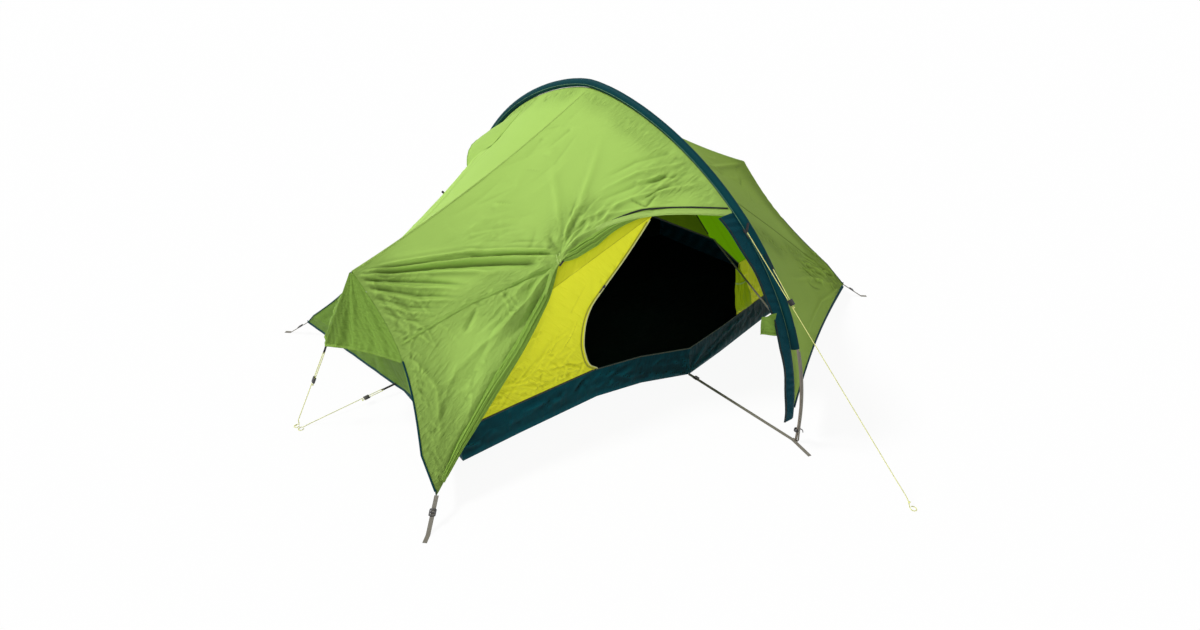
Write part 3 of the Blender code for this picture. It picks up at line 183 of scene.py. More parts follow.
def door_edge(u):
    """Where the edge of the porch door's opening runs on the front left panel."""
    return through(DOOR_EDGE, u)


def hem_edge(u):
    """Where the hem of the other three panels runs."""
    return mix(0.94, 1.0, u) - 0.017 * 4 * u * (1 - u)


def surface_normal(surface, u, share, step=0.004):
    """Outward normal of a surface given by two shares."""
    along = surface(u + step, share) - surface(u - step, share)
    down = surface(u, share + step) - surface(u, share - step)
    normal = unit(np.cross(along, down))
    return normal * np.sign(dot(normal, surface(u, share) - INSIDE))


# Folds: each is a line with a height, a width, and how it fades at its ends
def fold_line(points, normals, line, height, width, sharp=1.5, fade=(0.2, 0.2), grow=1.0):
    """Height that one fold gives each point, measured along the cloth."""
    a, b = line[:-1], line[1:]
    reach = np.linalg.norm(b - a, axis=1)
    before = np.concatenate([[0.0], np.cumsum(reach)])
    best = np.full(len(points), 9.0)
    where = np.zeros(len(points))
    for i, step in enumerate(b - a):
        gap = points - a[i]
        t = np.clip(dot(gap, step) / reach[i] ** 2, 0, 1)
        gap -= t * step
        out = dot(gap, normals)
        far = np.sqrt(np.maximum(dot(gap, gap) - out ** 2, 0))[:, 0]
        nearer = far < best
        best = np.where(nearer, far, best)
        where = np.where(nearer, (before[i] + t[:, 0] * reach[i]) / before[-1], where)
    start, finish = (np.clip(part / max(room, 1e-3), 0, 1) for part, room in zip((where, 1 - where), fade))
    size = (start * start * (3 - 2 * start)) * (finish * finish * (3 - 2 * finish))
    return height * size * np.exp(-(best / (width * mix(1.0, grow, where))) ** sharp)


def crinkles(seed, line, spread, count, length, height, width, turn=0.5, toward=None):
    """Short folds scattered about a line, each roughly along it or towards a point."""
    rng = np.random.default_rng(seed)
    reach = lengths(line)
    made = []
    for _ in range(count):
        where = rng.random() * reach[-1]
        middle, near = read(straight, reach, line, where), read(straight, reach, line, where + 0.01)
        along = unit(near - middle if toward is None else np.asarray(toward) - middle)
        if not np.any(along):
            along = unit(line[-1] - line[0])
        middle = middle + rng.normal(0, spread, 3)
        aim = unit(along + rng.normal(0, turn, 3))
        half = aim * length * rng.uniform(0.5, 1.3) / 2
        bend = rng.normal(0, 0.10, 3) * length
        sign = 1 if rng.random() < 0.6 else -1
        made.append(dict(line=np.array([middle - half, middle + bend, middle + half]), fade=(0.4, 0.4),
                         height=sign * height * rng.uniform(0.4, 1.3), width=width * rng.uniform(0.6, 1.4)))
    return made


def fold_height(points, normals, folds):
    """All folds of a panel added up."""
    flat, turned = points.reshape(-1, 3), normals.reshape(-1, 3)
    out = np.zeros(len(flat))
    for fold in folds:
        low, high = fold["line"].min(0), fold["line"].max(0)
        room = fold["width"] * 3 * max(1.0, fold.get("grow", 1.0)) + 0.02
        inside = np.all((flat > low - room) & (flat < high + room), axis=1)
        if inside.any():
            out[inside] += fold_line(flat[inside], turned[inside], **fold)
    return out.reshape(points.shape[:-1])


def on_canopy(end, side, pairs, steps=5):
    """Points of a line on a panel, from its shares."""
    u, share = np.array(pairs, float).T
    fine = np.linspace(0, len(u) - 1, (len(u) - 1) * steps + 1)
    return canopy(np.interp(fine, range(len(u)), u), np.interp(fine, range(len(u)), share), end, side)


def drawn(end, side, rows):
    """Folds from rows of shares on a panel, height and width in millimetres, fade and growth."""
    made = []
    for pairs, height, width, *more in rows:
        extra = dict(zip(("fade", "grow"), more))
        made.append(dict(line=on_canopy(end, side, pairs), height=height / 1000, width=width / 1000, **extra))
    return made


def scattered(end, side, rows):
    """Crinkles from rows of a seed, a line of shares on a panel and the rest of what crinkles takes."""
    return [made for seed, pairs, *more in rows for made in crinkles(seed, on_canopy(end, side, pairs), *more)]


# Panels
def panel(end, side, edge, folds):
    """A surface function of one quarter of the flysheet, with its folds."""
    def base(u, share):
        return canopy(u, share, end, side)

    def at(u, share, lift=0.0):
        u, share = np.broadcast_arrays(np.asarray(u, float), np.asarray(share, float))
        point, normal = base(u, share), surface_normal(base, u, share)
        height = fold_height(point, normal, folds) * rise(u, 0, .03) * rise(share, 0, .014) \
            * np.clip((1.004 - u) / .022, .05, 1) + lift
        if edge is door_edge:
            far = np.hypot((u - TIE_SHARE) * 1.33, (share - TIE_DOWN) * 1.3)
            calm = height * (1 - .6 * np.exp(-(far / .026) ** 2))
            curl = rise(share, door_edge(u) - .050, door_edge(u)) * rise(u, TIE_SHARE + .035, TIE_SHARE + .105)
            height = np.minimum(calm, .0008 + .20 * np.maximum(far - .018, 0)) \
                - .030 * curl ** 2.2 * np.clip((1 - u) / .10, 0, 1)
        return point + normal * height[..., None]
    at.folds, at.base = folds, base
    return at


def tie_pleats():
    """Rows of pleats that run along the door's edge and close up at the tie."""
    rows = []
    for k, off in enumerate((.010, .021, .033, .046, .062, .082)):
        line = [(u, float(door_edge(u)) - .004 - off * min(1.0, (TIE_SHARE + .006 - u) / .13)) for u in
                (.470, .44, .40, .35, .30 - .012 * k)]
        rows.append((line, 5.5 if k % 2 else -5.0, 5.5 + k * .8, (.02, .5), 1.5))
    for k, off in enumerate((.012, .026, .042, .060)):
        line = [(u, float(door_edge(u)) - .003 - off * min(1.0, (u - TIE_SHARE + .004) / .10)) for u in
                (.484, .52, .57, .64 + .02 * k)]
        rows.append((line, -6 if k % 2 else 6, 6.0 + k, (.02, .5), 1.6))
    return rows


def quarter_folds(end, seed):
    """Folds of a rear panel: off the apex, into the corner, along the end edge and beside the sleeve."""
    return scattered(end, 1, [
        (seed, [(.90, .12), (.88, .5)], .040, 44, .18, .0028, .0068, .12, apex(end)),
        (seed + 1, [(.75, .8), (.97, .9)], .045, 54, .20, .0032, .0075, .12, corner(end, 1)),
        (seed + 2, [(.98, .3), (.97, .95)], .012, 50, .07, .0024, .0055, .3),
        (seed + 3, [(.03, .05), (.03, .92)], .010, 90, .06, .0022, .0060, .15, (end * 2.0, 0, .6)),
        (seed + 4, [(.2, .3), (.8, .6)], .090, 30, .28, .0028, .0150, .12, corner(end, 1)),
    ]) + drawn(end, 1, [
        ([(.985, .02), (.55, .28), (.10, .50)], 5, 16, (.1, .5)),
        ([(.96, .97), (.70, .78), (.30, .66)], 6, 14, (.1, .5)),
        ([(.95, .98), (.66, .91), (.25, .90)], 5, 11, (.1, .5)),
    ])


TIE = on_canopy(-1, -1, [(TIE_SHARE, TIE_DOWN), (TIE_SHARE, TIE_DOWN)])[0]
PORCH_TOP = on_canopy(-1, -1, [(.40, .34), (.40, .34)])[0]
SEAM_LINE = [(.478, .426), (.568, .418), (.664, .406), (.754, .393), (.854, .389), (.94, .391), (1.0, .391)]
RIM_LINE = [(.479, .432), (.563, .500), (.651, .574), (.764, .672), (.848, .774), (.95, .918)]
FRONT_LEFT = drawn(-1, -1, [
    ([(.969, .016), (.72, .20), (.469, .391)], 11, 9, (.2, .05)),
    ([(.975, .022), (.73, .215), (.471, .402)], -13, 8, (.2, .05)),
    ([(.989, .019), (.73, .225), (.471, .413)], 17, 10, (.12, .04)),
    ([(.953, .060), (.735, .240), (.518, .402)], -22, 15, (.12, .10)),
    ([(.985, .045), (.80, .215), (.632, .359)], 14, 6, (.10, .25), 1.9),
    ([(.871, .093), (.571, .316)], -6, 10, (.3, .3)),
    ([(.988, .060), (.86, .200), (.722, .342)], -12, 5.5, (.10, .35), 1.9),
    ([(.990, .078), (.87, .225), (.734, .351)], 11, 5.5, (.12, .35), 1.8),
    ([(.991, .098), (.88, .250), (.757, .365)], -10, 5, (.12, .4), 1.9),
    ([(.992, .120), (.88, .280), (.748, .385)], 9, 5, (.14, .4), 2.0),
    ([(.993, .150), (.91, .280), (.81, .372)], -7, 5, (.15, .45), 1.8),
    ([(.993, .185), (.92, .300), (.84, .375)], 7, 5, (.15, .45), 1.8),
    ([(.993, .225), (.94, .315), (.87, .385)], -5, 5, (.2, .45), 1.6),
    ([(.992, .030), (.93, .120), (.87, .150)], 6, 5, (.1, .5), 1.6),
    ([(.951, .001), (.529, .309)], 5, 20, (.3, .3)),
    ([(.479, .432), (.651, .574), (.848, .774), (.95, .918)], 14, 17, (.05, .3)),
    ([(.504, .445), (.731, .584)], -14, 14, (.08, .5)),
    ([(.525, .442), (.76, .551)], 10, 12, (.1, .5)),
    ([(.742, .413), (.814, .479)], -8, 11, (.3, .3)),
    ([(.478, .436), (.568, .424), (.664, .412)], -6, 8, (.1, .3)),
    ([(.476, .418), (.40, .398), (.26, .405)], 9, 9, (.05, .5)),
    ([(.476, .412), (.42, .380), (.30, .360)], -7, 9, (.05, .5)),
]) + scattered(-1, -1, [
    (3, [(.975, .30), (.965, .95)], .014, 80, .08, .0021, .0048, .35),
    (4, [(.95, .16), (.93, .42)], .030, 40, .16, .0030, .0062, .10, apex(-1)),
    (5, [(.66, .405), (.649, .496)], .018, 26, .06, .0030, .0055, .6),
    (6, SEAM_LINE, .009, 60, .060, .0018, .0050, .35),
    (7, [(.80, .60), (.93, .90)], .070, 46, .26, .0030, .0130, .08, corner(-1, -1)),
    (8, [(.06, .36), (.16, .43)], .040, 34, .17, .0050, .0080, .10, PORCH_TOP),
    (9, [(.26, .36), (.46, .37)], .028, 30, .16, .0040, .0080, .12, TIE),
    (10, [(.03, .02), (.03, .50)], .010, 60, .08, .0014, .0060, .12, (-2.0, 0, .6)),
    (11, [(.55, .45), (.9, .60)], .050, 34, .26, .0030, .0130, .10, TIE),
    (12, [(.15, .10), (.85, .15)], .080, 26, .30, .0030, .0170, .12, apex(-1)),
    (13, RIM_LINE, .014, 44, .09, .0026, .0070, .15),
    (14, [(.60, .20), (.60, .42)], .060, 30, .24, .0030, .0110, .08, apex(-1)),
]) + drawn(-1, -1, [
    ([(.015, .445), (.20, .385), (.42, .352)], 9, 12, (.1, .5)),
    ([(.02, .412), (.16, .365), (.34, .330)], -7, 12, (.1, .5)),
    ([(.02, .385), (.14, .340), (.30, .315)], 7, 11, (.1, .5)),
    ([(.02, .350), (.12, .315), (.25, .295)], -5, 12, (.1, .5)),
    ([(.10, .455), (.28, .388), (.46, .408)], 6, 9, (.2, .2)),
    ([(.45, .400), (.30, .300), (.10, .180)], 5, 16, (.1, .6)),
    ([(.46, .395), (.38, .280), (.28, .120)], 4, 18, (.1, .6)),
    ([(.50, .44), (.66, .50), (.92, .60)], 7, 13, (.05, .5)),
    ([(.50, .45), (.70, .62), (.93, .86)], -6, 14, (.05, .4)),
    ([(.985, .44), (.93, .62), (.955, .88)], 7, 14, (.2, .3)),
    ([(.93, .95), (.86, .74), (.74, .56)], 5, 14, (.1, .5)),
] + tie_pleats())
FRONT_RIGHT = drawn(1, -1, [
    ([(.98, .70), (.95, .95)], 7, 14),
    ([(.90, .74), (.93, .97)], -7, 12),
    ([(.985, .02), (.55, .22), (.10, .34)], 5, 16, (.1, .5)),
    ([(.96, .97), (.70, .80), (.30, .70)], 5, 14, (.1, .5)),
    ([(.95, .98), (.66, .90), (.25, .88)], 4, 10, (.1, .5)),
]) + scattered(1, -1, [
    (21, [(.66, .76), (.97, .84)], .040, 60, .24, .0062, .0100, .12, corner(1, -1)),
    (22, [(.98, .35), (.97, .95)], .014, 50, .08, .0028, .0060, .3),
    (23, [(0, .52), (.375, .590), (.807, .688)], .012, 70, .05, .0026, .0060, .6),
    (24, [(.2, .15), (.8, .20)], .070, 26, .26, .0028, .0150, .12, apex(1)),
    (25, [(.03, .05), (.03, .92)], .010, 90, .06, .0022, .0060, .15, (2.0, 0, .6)),
])
front_left = panel(-1, -1, door_edge, FRONT_LEFT)
front_right = panel(1, -1, hem_edge, FRONT_RIGHT)
rear_left = panel(-1, 1, hem_edge, quarter_folds(-1, 31))
rear_right = panel(1, 1, hem_edge, quarter_folds(1, 41))


# Materials
class Wire:
    """A node's output; sums with it make Math nodes."""

    def __init__(self, tree, socket):
        self.tree, self.socket = tree, socket

    def maths(self, operation, *others):
        return node(self.tree, "Math", self, *others, operation=operation)

    def __add__(self, other):
        return self.maths("ADD", other)

    def __sub__(self, other):
        return self.maths("SUBTRACT", other)

    def __rsub__(self, other):
        return node(self.tree, "Math", other, self, operation="SUBTRACT")

    def __mul__(self, other):
        return self.maths("MULTIPLY", other)

    def __truediv__(self, other):
        return self.maths("DIVIDE", other)

    def __gt__(self, other):
        return self.maths("GREATER_THAN", other)

    def __lt__(self, other):
        return self.maths("LESS_THAN", other)

    def __abs__(self):
        return self.maths("ABSOLUTE")


def plug(tree, socket, value):
    """Give an input its value, or link another node's output to it."""
    if isinstance(value, Wire):
        tree.links.new(value.socket, socket)
    elif value is not None:
        socket.default_value = (*value, 1) if socket.type == "RGBA" else value


def node(tree, kind, *values, out=0, **settings):
    """One output of a new shader node with its settings and inputs."""
    made = tree.nodes.new("ShaderNode" + kind)
    for key, value in settings.items():
        setattr(made, key, value)
    for socket, value in zip(made.inputs, values):
        plug(tree, socket, value)
    return Wire(tree, made.outputs[out])


def blend(share, a, b):
    """A mix of two colours."""
    return node(share.tree, "Mix", share, *[None] * 5, a, b, out=2, data_type="RGBA")


def part(at, k):
    """One of the three parts of a vector."""
    return node(at.tree, "SeparateXYZ", at, out=k)


def noise(at, scale, detail, roughness=None):
    """Soft noise."""
    return node(at.tree, "TexNoise", at, None, scale, detail, roughness)


def shade(colour, times, most=9.0):
    """A colour made darker or lighter."""
    return tuple(min(c * times, most) for c in colour)


def new_group(name, draw, **inputs):
    """A node group: draw is handed its inputs and hands back its outputs by name."""
    tree = bpy.data.node_groups.new(name, "ShaderNodeTree")
    for title, value in inputs.items():
        kind = "NodeSocketVector" if value is None else "NodeSocketFloat"
        socket = tree.interface.new_socket(name=title, in_out="INPUT", socket_type=kind)
        if value is not None:
            socket.default_value = value
    given = tree.nodes.new("NodeGroupInput").outputs
    made = draw(*[Wire(tree, given[title]) for title in inputs])
    for title in made:
        tree.interface.new_socket(name=title, in_out="OUTPUT", socket_type="NodeSocketFloat")
    wanted = tree.nodes.new("NodeGroupOutput").inputs
    for title, wire in made.items():
        plug(tree, wanted[title], wire)
    return tree


def ripstop(at, cell):
    """Ripstop: a square grid of thicker threads over a fine plain weave."""
    lines = [abs((part(at, k) / cell).maths("FRACT") - 0.5) > 0.455 for k in (0, 1)]
    grid = lines[0].maths("MAXIMUM", lines[1])
    return dict(Grid=grid, Height=grid * 0.6 + noise(at, 1400.0, 2.0) * 0.4)


def creases(at, size, crease_and_shade):
    """Small creases in thin coated cloth: crossing ridges, stronger where the piece is marked as creased."""
    ridges = []
    for turn, stretch, share in ((0.5, 3.2, 1.0), (-0.6, 2.6, 0.7), (1.5, 1.4, 0.5)):
        laid = node(at.tree, "Mapping", at, None, (0, 0, turn), (1, stretch, 1))
        off = abs(node(at.tree, "TexNoise", laid, None, size, 3.0, 0.55, 2.0, None, 0.7) - 0.5)
        ridges.append((1.0 - off * 2.0).maths("POWER", 5.0) * share)
    return dict(Height=(ridges[0] + ridges[1] + ridges[2]) * crease_and_shade, Shade=noise(at, 3.1, 3.0))


def stitches(at, half, pitch):
    """Rows of stitches along both edges of a tape."""
    off = abs(abs(part(at, 1)) - half * 0.62)
    mark = (off < 0.00045) * ((part(at, 0) / pitch).maths("FRACT") < 0.68)
    return dict(Stitch=mark, Height=(off < 0.0011) * -0.5 + mark)


def webbing_weave(at, half, pitch):
    """The herringbone of woven webbing, with darker selvedges."""
    x, y = part(at, 0), part(at, 1)
    wave = ((x + y.maths("PINGPONG", 0.0019)) / pitch * 6.2832).maths("SINE")
    height = wave * 0.35 + (y * 3300.0).maths("SINE") * 0.15 + 0.5
    return dict(Tint=height - (abs(y) > half * 0.86) * 0.35, Height=height)


def cord_braid(at, pitch):
    """The crossing strands of a braided cord."""
    waves = [((part(at, 0) / pitch + part(at, 1) * turn) * 6.2832).maths("SINE") for turn in (424.0, -424.0)]
    return dict(Tint=waves[0] * waves[1] * 0.5, Height=waves[0].maths("MAXIMUM", waves[1]) * 0.5 + 0.5)


def ground_dust(at, height):
    """Dust and damp marks that fade out above the ground, with scuffs."""
    near = node(at.tree, "Clamp", 1.0 - part(at, 2) / height, 0.0, 1.0)
    patch = noise(at, 22.0, 4.0, 0.6)
    return dict(Dust=near * patch, Scuff=patch * noise(at, 420.0, 2.0))


RIPSTOP = new_group("ripstop_weave", ripstop, Map=None, Cell=.006)
CREASES = new_group("cloth_creases", creases, Map=None, Size=14.0, Creased=0.3)
STITCHES = new_group("stitch_rows", stitches, Map=None, Half=.005, Pitch=.0032)
WEAVE = new_group("webbing_weave", webbing_weave, Map=None, Half=.0075, Pitch=.0016)
BRAID = new_group("cord_braid", cord_braid, Map=None, Pitch=.0030)
DUST = new_group("ground_dust", ground_dust, Place=None, Height=.10)
EARTH = (.20, .17, .12)


class Look:
    """A new Principled material while its nodes are put in."""

    def __init__(self, name, roughness, metallic=0.0, specular=0.5):
        self.material = bpy.data.materials.new(name)
        self.material.use_nodes = True
        self.tree = self.material.node_tree
        self.shader = self.tree.nodes["Principled BSDF"]
        self.normal = None
        self.set("Roughness", roughness)
        self.set("Metallic", metallic)
        self.set("Specular IOR Level", specular)
        self.uv, self.place = (node(self.tree, "TexCoord", out=title) for title in ("UV", "Object"))

    def set(self, title, value):
        """Give an input of the shader its value or wire."""
        plug(self.tree, self.shader.inputs[title], value)

    def use(self, group, **inputs):
        """Place a node group, and hand back its outputs by name."""
        made = self.tree.nodes.new("ShaderNodeGroup")
        made.node_tree = group
        for title, value in inputs.items():
            plug(self.tree, made.inputs[title], value)
        return {socket.name: Wire(self.tree, socket) for socket in made.outputs}

    def bump(self, height, strength, distance):
        """A Bump node over the one before it."""
        made = self.tree.nodes.new("ShaderNodeBump")
        for title, value in (("Strength", strength), ("Distance", distance), ("Height", height),
                             ("Normal", self.normal)):
            plug(self.tree, made.inputs[title], value)
        self.normal = Wire(self.tree, made.outputs["Normal"])
        self.set("Normal", self.normal)


def nylon(name, colour, deep, roughness=0.5, specular=0.2, crease=0.0035, size=13.0, painted_glow=None):
    """Thin coated ripstop: a grid of threads, small creases, uneven dye and a little dust low down, with painted shade
    in creases and hollows, a painted highlight on crests and, where given, a painted glow.
    """
    look = Look(name, roughness, 0.0, specular)
    crease_and_shade = node(look.tree, "Attribute", out="Fac", attribute_name="crease_and_shade") + 0.05
    painted_shade_and_highlight = node(look.tree, "Attribute", out="Fac", attribute_name="painted_shade_and_highlight")
    weave = look.use(RIPSTOP, Map=look.uv, Cell=0.0055)
    small = look.use(CREASES, Map=look.uv, Size=size, Creased=crease_and_shade)
    dust = look.use(DUST, Place=look.place, Height=0.12)["Dust"]
    tone = blend(small["Shade"], deep, colour)
    # Painted shade: the colour darkens where the cloth is marked as creased.
    tone = blend(crease_and_shade * 0.5, tone, shade(deep, .62))
    # Painted shade where the cloth lies in a hollow or is marked as shaded, and a painted highlight where it stands
    # above the cloth around it.
    tone = blend(painted_shade_and_highlight.maths("MAXIMUM", 0.0) * 0.8, tone, shade(deep, .38))
    tone = blend(painted_shade_and_highlight.maths("MINIMUM", 0.0) * -0.4, tone, shade(colour, 1.35, 1))
    tone = blend(weave["Grid"] * 0.10, tone, shade(colour, 1.25))
    look.set("Base Color", blend(dust * 0.05, tone, (.22, .19, .13)))
    look.set("Roughness", small["Shade"] * 0.14 + (roughness - 0.07))
    look.bump(small["Height"], 1.0, crease)
    look.bump(weave["Height"], 0.25, 0.0003)
    # Painted glow: emission that stands in for light coming through the cloth.
    if painted_glow:
        look.set("Emission Strength", 1.0)
        look.set("Emission Color", blend(small["Shade"], shade(painted_glow, .75), painted_glow))
    return look.material


def webbing(name, colour, half, stitched=None):
    """Woven webbing."""
    look = Look(name, 0.82, 0.0, 0.25)
    weave = look.use(WEAVE, Map=look.uv, Half=half)
    dust = look.use(DUST, Place=look.place, Height=0.05)["Dust"]
    tone = blend(weave["Tint"], shade(colour, .55), shade(colour, 1.25))
    tone = blend(dust * 0.35, tone, EARTH)
    height = weave["Height"]
    if stitched:
        rows = look.use(STITCHES, Map=look.uv, Half=half, Pitch=0.0036)
        tone = blend(rows["Stitch"], tone, stitched)
        height = height + rows["Height"]
    look.set("Base Color", tone)
    look.bump(height, 0.8, 0.0004)
    return look.material


def seam_cloth(name, colour, half, thread, roughness=0.55, specular=0.05):
    """A folded seam or hem in coated cloth with two rows of stitches and small puckers."""
    look = Look(name, roughness, 0.0, specular)
    rows = look.use(STITCHES, Map=look.uv, Half=half, Pitch=0.0034)
    small = look.use(CREASES, Map=look.uv, Size=60.0, Creased=0.8)
    tone = blend(small["Shade"], shade(colour, .72), shade(colour, 1.15))
    look.set("Base Color", blend(rows["Stitch"], tone, thread))
    look.bump(small["Height"], 1.0, 0.0012)
    look.bump(rows["Height"], 0.7, 0.0005)
    return look.material


def zip_coil(name, tape, coil):
    """A coil zip: tape at the sides and a dark row of teeth down its middle."""
    look = Look(name, 0.6, 0.0, 0.3)
    middle = abs(part(look.uv, 1)) < 0.0026
    teeth = (part(look.uv, 0) * (6.2832 / 0.0017)).maths("SINE")
    grain = noise(look.uv, 900.0, 2.0)
    cloth_tone = blend(grain, shade(tape, .6), shade(tape, 1.3))
    coil_tone = blend(teeth * 0.5 + 0.5, shade(coil, .4), coil)
    look.set("Base Color", blend(middle, cloth_tone, coil_tone))
    look.bump(middle * (teeth + 2.0) + grain * 0.4, 0.8, 0.0005)
    return look.material


def tube_metal(name, colour, roughness):
    """Anodised tube, drawn lengthwise, scuffed and dusty near the ground."""
    look = Look(name, roughness, 0.85)
    dust = look.use(DUST, Place=look.place, Height=0.25)
    grain = noise(node(look.tree, "Mapping", look.place, None, None, (900, 25, 25)), 1.0, 3.0)
    tone = blend(grain, shade(colour, .7), shade(colour, 1.2))
    look.set("Base Color", blend(dust["Dust"] * 0.6, tone, EARTH))
    look.set("Roughness", dust["Scuff"] * 0.5 + (roughness - 0.08))
    look.set("Metallic", 0.9 - dust["Dust"] * 0.7)
    look.bump(grain, 0.3, 0.0002)
    return look.material


def moulded(name, colour, roughness=0.42):
    """Moulded plastic with a fine grain, pale scuffs and dust."""
    look = Look(name, roughness, 0.0, 0.4)
    dust = look.use(DUST, Place=look.place, Height=0.06)
    grain = noise(look.place, 2600.0, 3.0)
    tone = blend(grain, shade(colour, .7), shade(colour, 1.3))
    tone = blend((dust["Scuff"] > 0.36) * 0.25, tone, tuple(c * 2.4 + .02 for c in colour))
    look.set("Base Color", blend(dust["Dust"] * 0.5, tone, EARTH))
    look.set("Roughness", dust["Scuff"] * 0.4 + (roughness - 0.08))
    look.bump(grain, 0.35, 0.0002)
    return look.material


def braided(name, colour):
    """Braided cord with a fleck."""
    look = Look(name, 0.7, 0.0, 0.25)
    braid = look.use(BRAID, Map=look.uv)
    tone = blend(braid["Height"], shade(colour, .5), shade(colour, 1.1, 1))
    look.set("Base Color", blend(noise(look.uv, 700.0, 1.0) * 0.25, tone, (.55, .60, .12)))
    look.bump(braid["Height"], 0.9, 0.0005)
    return look.material


FLY_GREEN = nylon("fly_green", (.41, .63, .135), (.35, .56, .108), 0.62, 0.05, 0.0016, 12.0)
# Painted shade: a darker, duller copy of the fly's green for the front right panel, which faces away from the key
# light.
FLY_SHADED = nylon("fly_green_right_painted_shade", (.33, .49, .085), (.27, .42, .068), 0.68, 0.02, 0.0016, 12.0)
# Painted light: a saturated green with a glow on the fly's inner face, standing in for sunlight through the cloth.
FLY_INSIDE_GLOW = nylon("fly_inside_painted_glow", (.12, .25, .004), (.09, .19, .003), 0.7, 0.02, 0.0016, 12.0, (.035, .085, .001))
# Painted shade: a darker copy of the fly's green for the hood, the rolled door and the porch flap, which lie in shade.
HOOD_SHADE_GREEN = nylon("hood_green_painted_shade", (.25, .42, .068), (.19, .34, .05), 0.62, 0.05, 0.0022, 16.0)
# Painted shade: a still darker copy of the fly's green for the end walls, recessed in the shade of the hoods.
WALL_SHADE_GREEN = nylon("end_wall_green_painted_shade", (.17, .30, .045), (.13, .24, .035), 0.65, 0.05, 0.0020, 14.0)
TEAL = nylon("sleeve_teal", (.0030, .054, .064), (.0018, .034, .042), 0.55, 0.05, 0.0012, 34.0)
FLAP_TEAL = nylon("zip_flap_teal", (.0040, .075, .100), (.0022, .045, .062), 0.5, 0.06, 0.0016, 40.0)
TUB_TEAL = nylon("tub_teal", (.0016, .110, .145), (.0006, .034, .046), 0.5, 0.05, 0.0035, 10.0)
# Painted shade: the tub's inner face near black, for the shaded inside of the inner tent.
TUB_INSIDE_SHADE = nylon("tub_inside_painted_shade", (.0012, .022, .015), (.0008, .012, .008), 0.7, 0.03, 0.0030, 10.0)
# Painted light: the inner's yellow glows a little, standing in for sunlight through the fly.
YELLOW = nylon("inner_yellow", (.86, .88, .036), (.76, .78, .024), 0.5, 0.12, 0.0024, 12.0, (.165, .165, .007))
# Painted shade: olive for the inner tent's yellow roof in the fly's shade, with a faint painted glow.
ROOF_SHADE_OLIVE = nylon("inner_roof_painted_shade", (.13, .20, .006), (.10, .16, .004), 0.65, 0.04, 0.0020, 12.0,
                   (.022, .036, .001))
# Painted light: a bright saturated green with a glow on the right of the inner roof, standing in for sunlit fly cloth
# seen from inside.
ROOF_LIT_GREEN = nylon("inner_side_painted_fly_light", (.24, .46, .006), (.20, .40, .005), 0.6, 0.05, 0.0020, 12.0, (.08, .19, .001))
# The gathered inner door has a small painted glow.
DOOR_LIME = nylon("inner_door_lime", (.38, .48, .012), (.28, .38, .008), 0.6, 0.06, 0.0024, 14.0, (.05, .07, .001))
# Partly dark mesh and partly painted shade: near black for the inner tent's inside faces, with a faint painted glow.
INNER_MESH_SHADE = nylon("inner_dark_mesh_painted_shade", (.0012, .0090, .0010), (.0008, .0050, .0008), 0.85, 0.0, 0.0020, 12.0,
                   (.0001, .0020, .0003))
GREY = webbing("grey_webbing", (.26, .245, .205), 0.0075)
FOOT_GREY = webbing("foot_webbing", (.22, .205, .17), 0.0055, (.05, .05, .05))
BLACK = webbing("black_webbing", (.018, .018, .018), 0.004)
TAB_BLACK = webbing("tab_black", (.020, .020, .021), 0.004, (.055, .055, .055))
LOOP_GREEN = webbing("tie_loop_green", (.50, .70, .20), 0.0022)
VENT_MESH = webbing("vent_mesh_black", (.012, .014, .012), 0.05)
RIDGE_GREEN = seam_cloth("ridge_seam_green", (.37, .57, .118), 0.004, (.30, .48, .09))
HOOD_HEM = seam_cloth("hood_hem_green", (.23, .39, .062), 0.006, (.15, .26, .04))
INNER_SEAM = seam_cloth("inner_seam_yellow", (.62, .64, .03), 0.003, (.50, .50, .05))
RIGHT_SEAM = seam_cloth("right_seam_green", (.20, .31, .05), 0.004, (.13, .21, .03), specular=0.02)
HEM_GREEN = seam_cloth("fly_hem_green", (.31, .50, .095), 0.006, (.20, .34, .06))
RIM_GREEN = seam_cloth("door_rim_green", (.42, .63, .15), 0.010, (.24, .40, .07))
HEM_TEAL = seam_cloth("hem_binding_teal", (.0030, .044, .054), 0.006, (.010, .080, .090))
# A seam's piping whose pale colour is a painted highlight along the sleeve's edges.
PIPING_HIGHLIGHT = seam_cloth("sleeve_piping_painted_highlight", (.16, .32, .20), 0.002, (.22, .40, .26))
DOOR_PIPING = seam_cloth("door_piping_pale", (.86, .88, .42), 0.002, (.90, .90, .60), specular=0.2)
TUB_SEAM = seam_cloth("tub_seam_tape", (.060, .075, .055), 0.0025, (.20, .19, .13))
ZIP_BLACK = zip_coil("zip_black", (.006, .016, .006), (.010, .016, .011))
ZIP_YELLOW = zip_coil("zip_yellow", (.70, .71, .03), (.62, .62, .05))
METAL = tube_metal("anodised_tube", (.26, .225, .185), .38)
PLASTIC = moulded("dark_plastic", (.028, .028, .030))
CORD = braided("pale_cord", (.92, .96, .34))


# Makers of cloth, tape and tube
def grid_normals(points):
    """Normals of a grid of points."""
    return unit(np.cross(np.gradient(points, axis=0), np.gradient(points, axis=1)))


def faces_in(points, facing=None):
    """Whether a grid's normals look towards the middle of the tent, or against a direction."""
    return np.sum(grid_normals(points) * (points - MIDDLE if facing is None else facing)) < 0


def outward(points, facing=None):
    """Normals of a grid, turned to look outward."""
    return grid_normals(points) * (-1 if faces_in(points, facing) else 1)


def oval(centre, a, b, turn):
    """Points round a centre at each angle, from its two half axes."""
    return centre + by(np.cos(turn), a) + by(np.sin(turn), b)


def full_turn(count):
    """Even angles once round."""
    return np.arange(count) * 2 * math.pi / count


def link(name, data):
    """A new object in the scene."""
    thing = bpy.data.objects.new(name, data)
    bpy.context.scene.collection.objects.link(thing)
    return thing


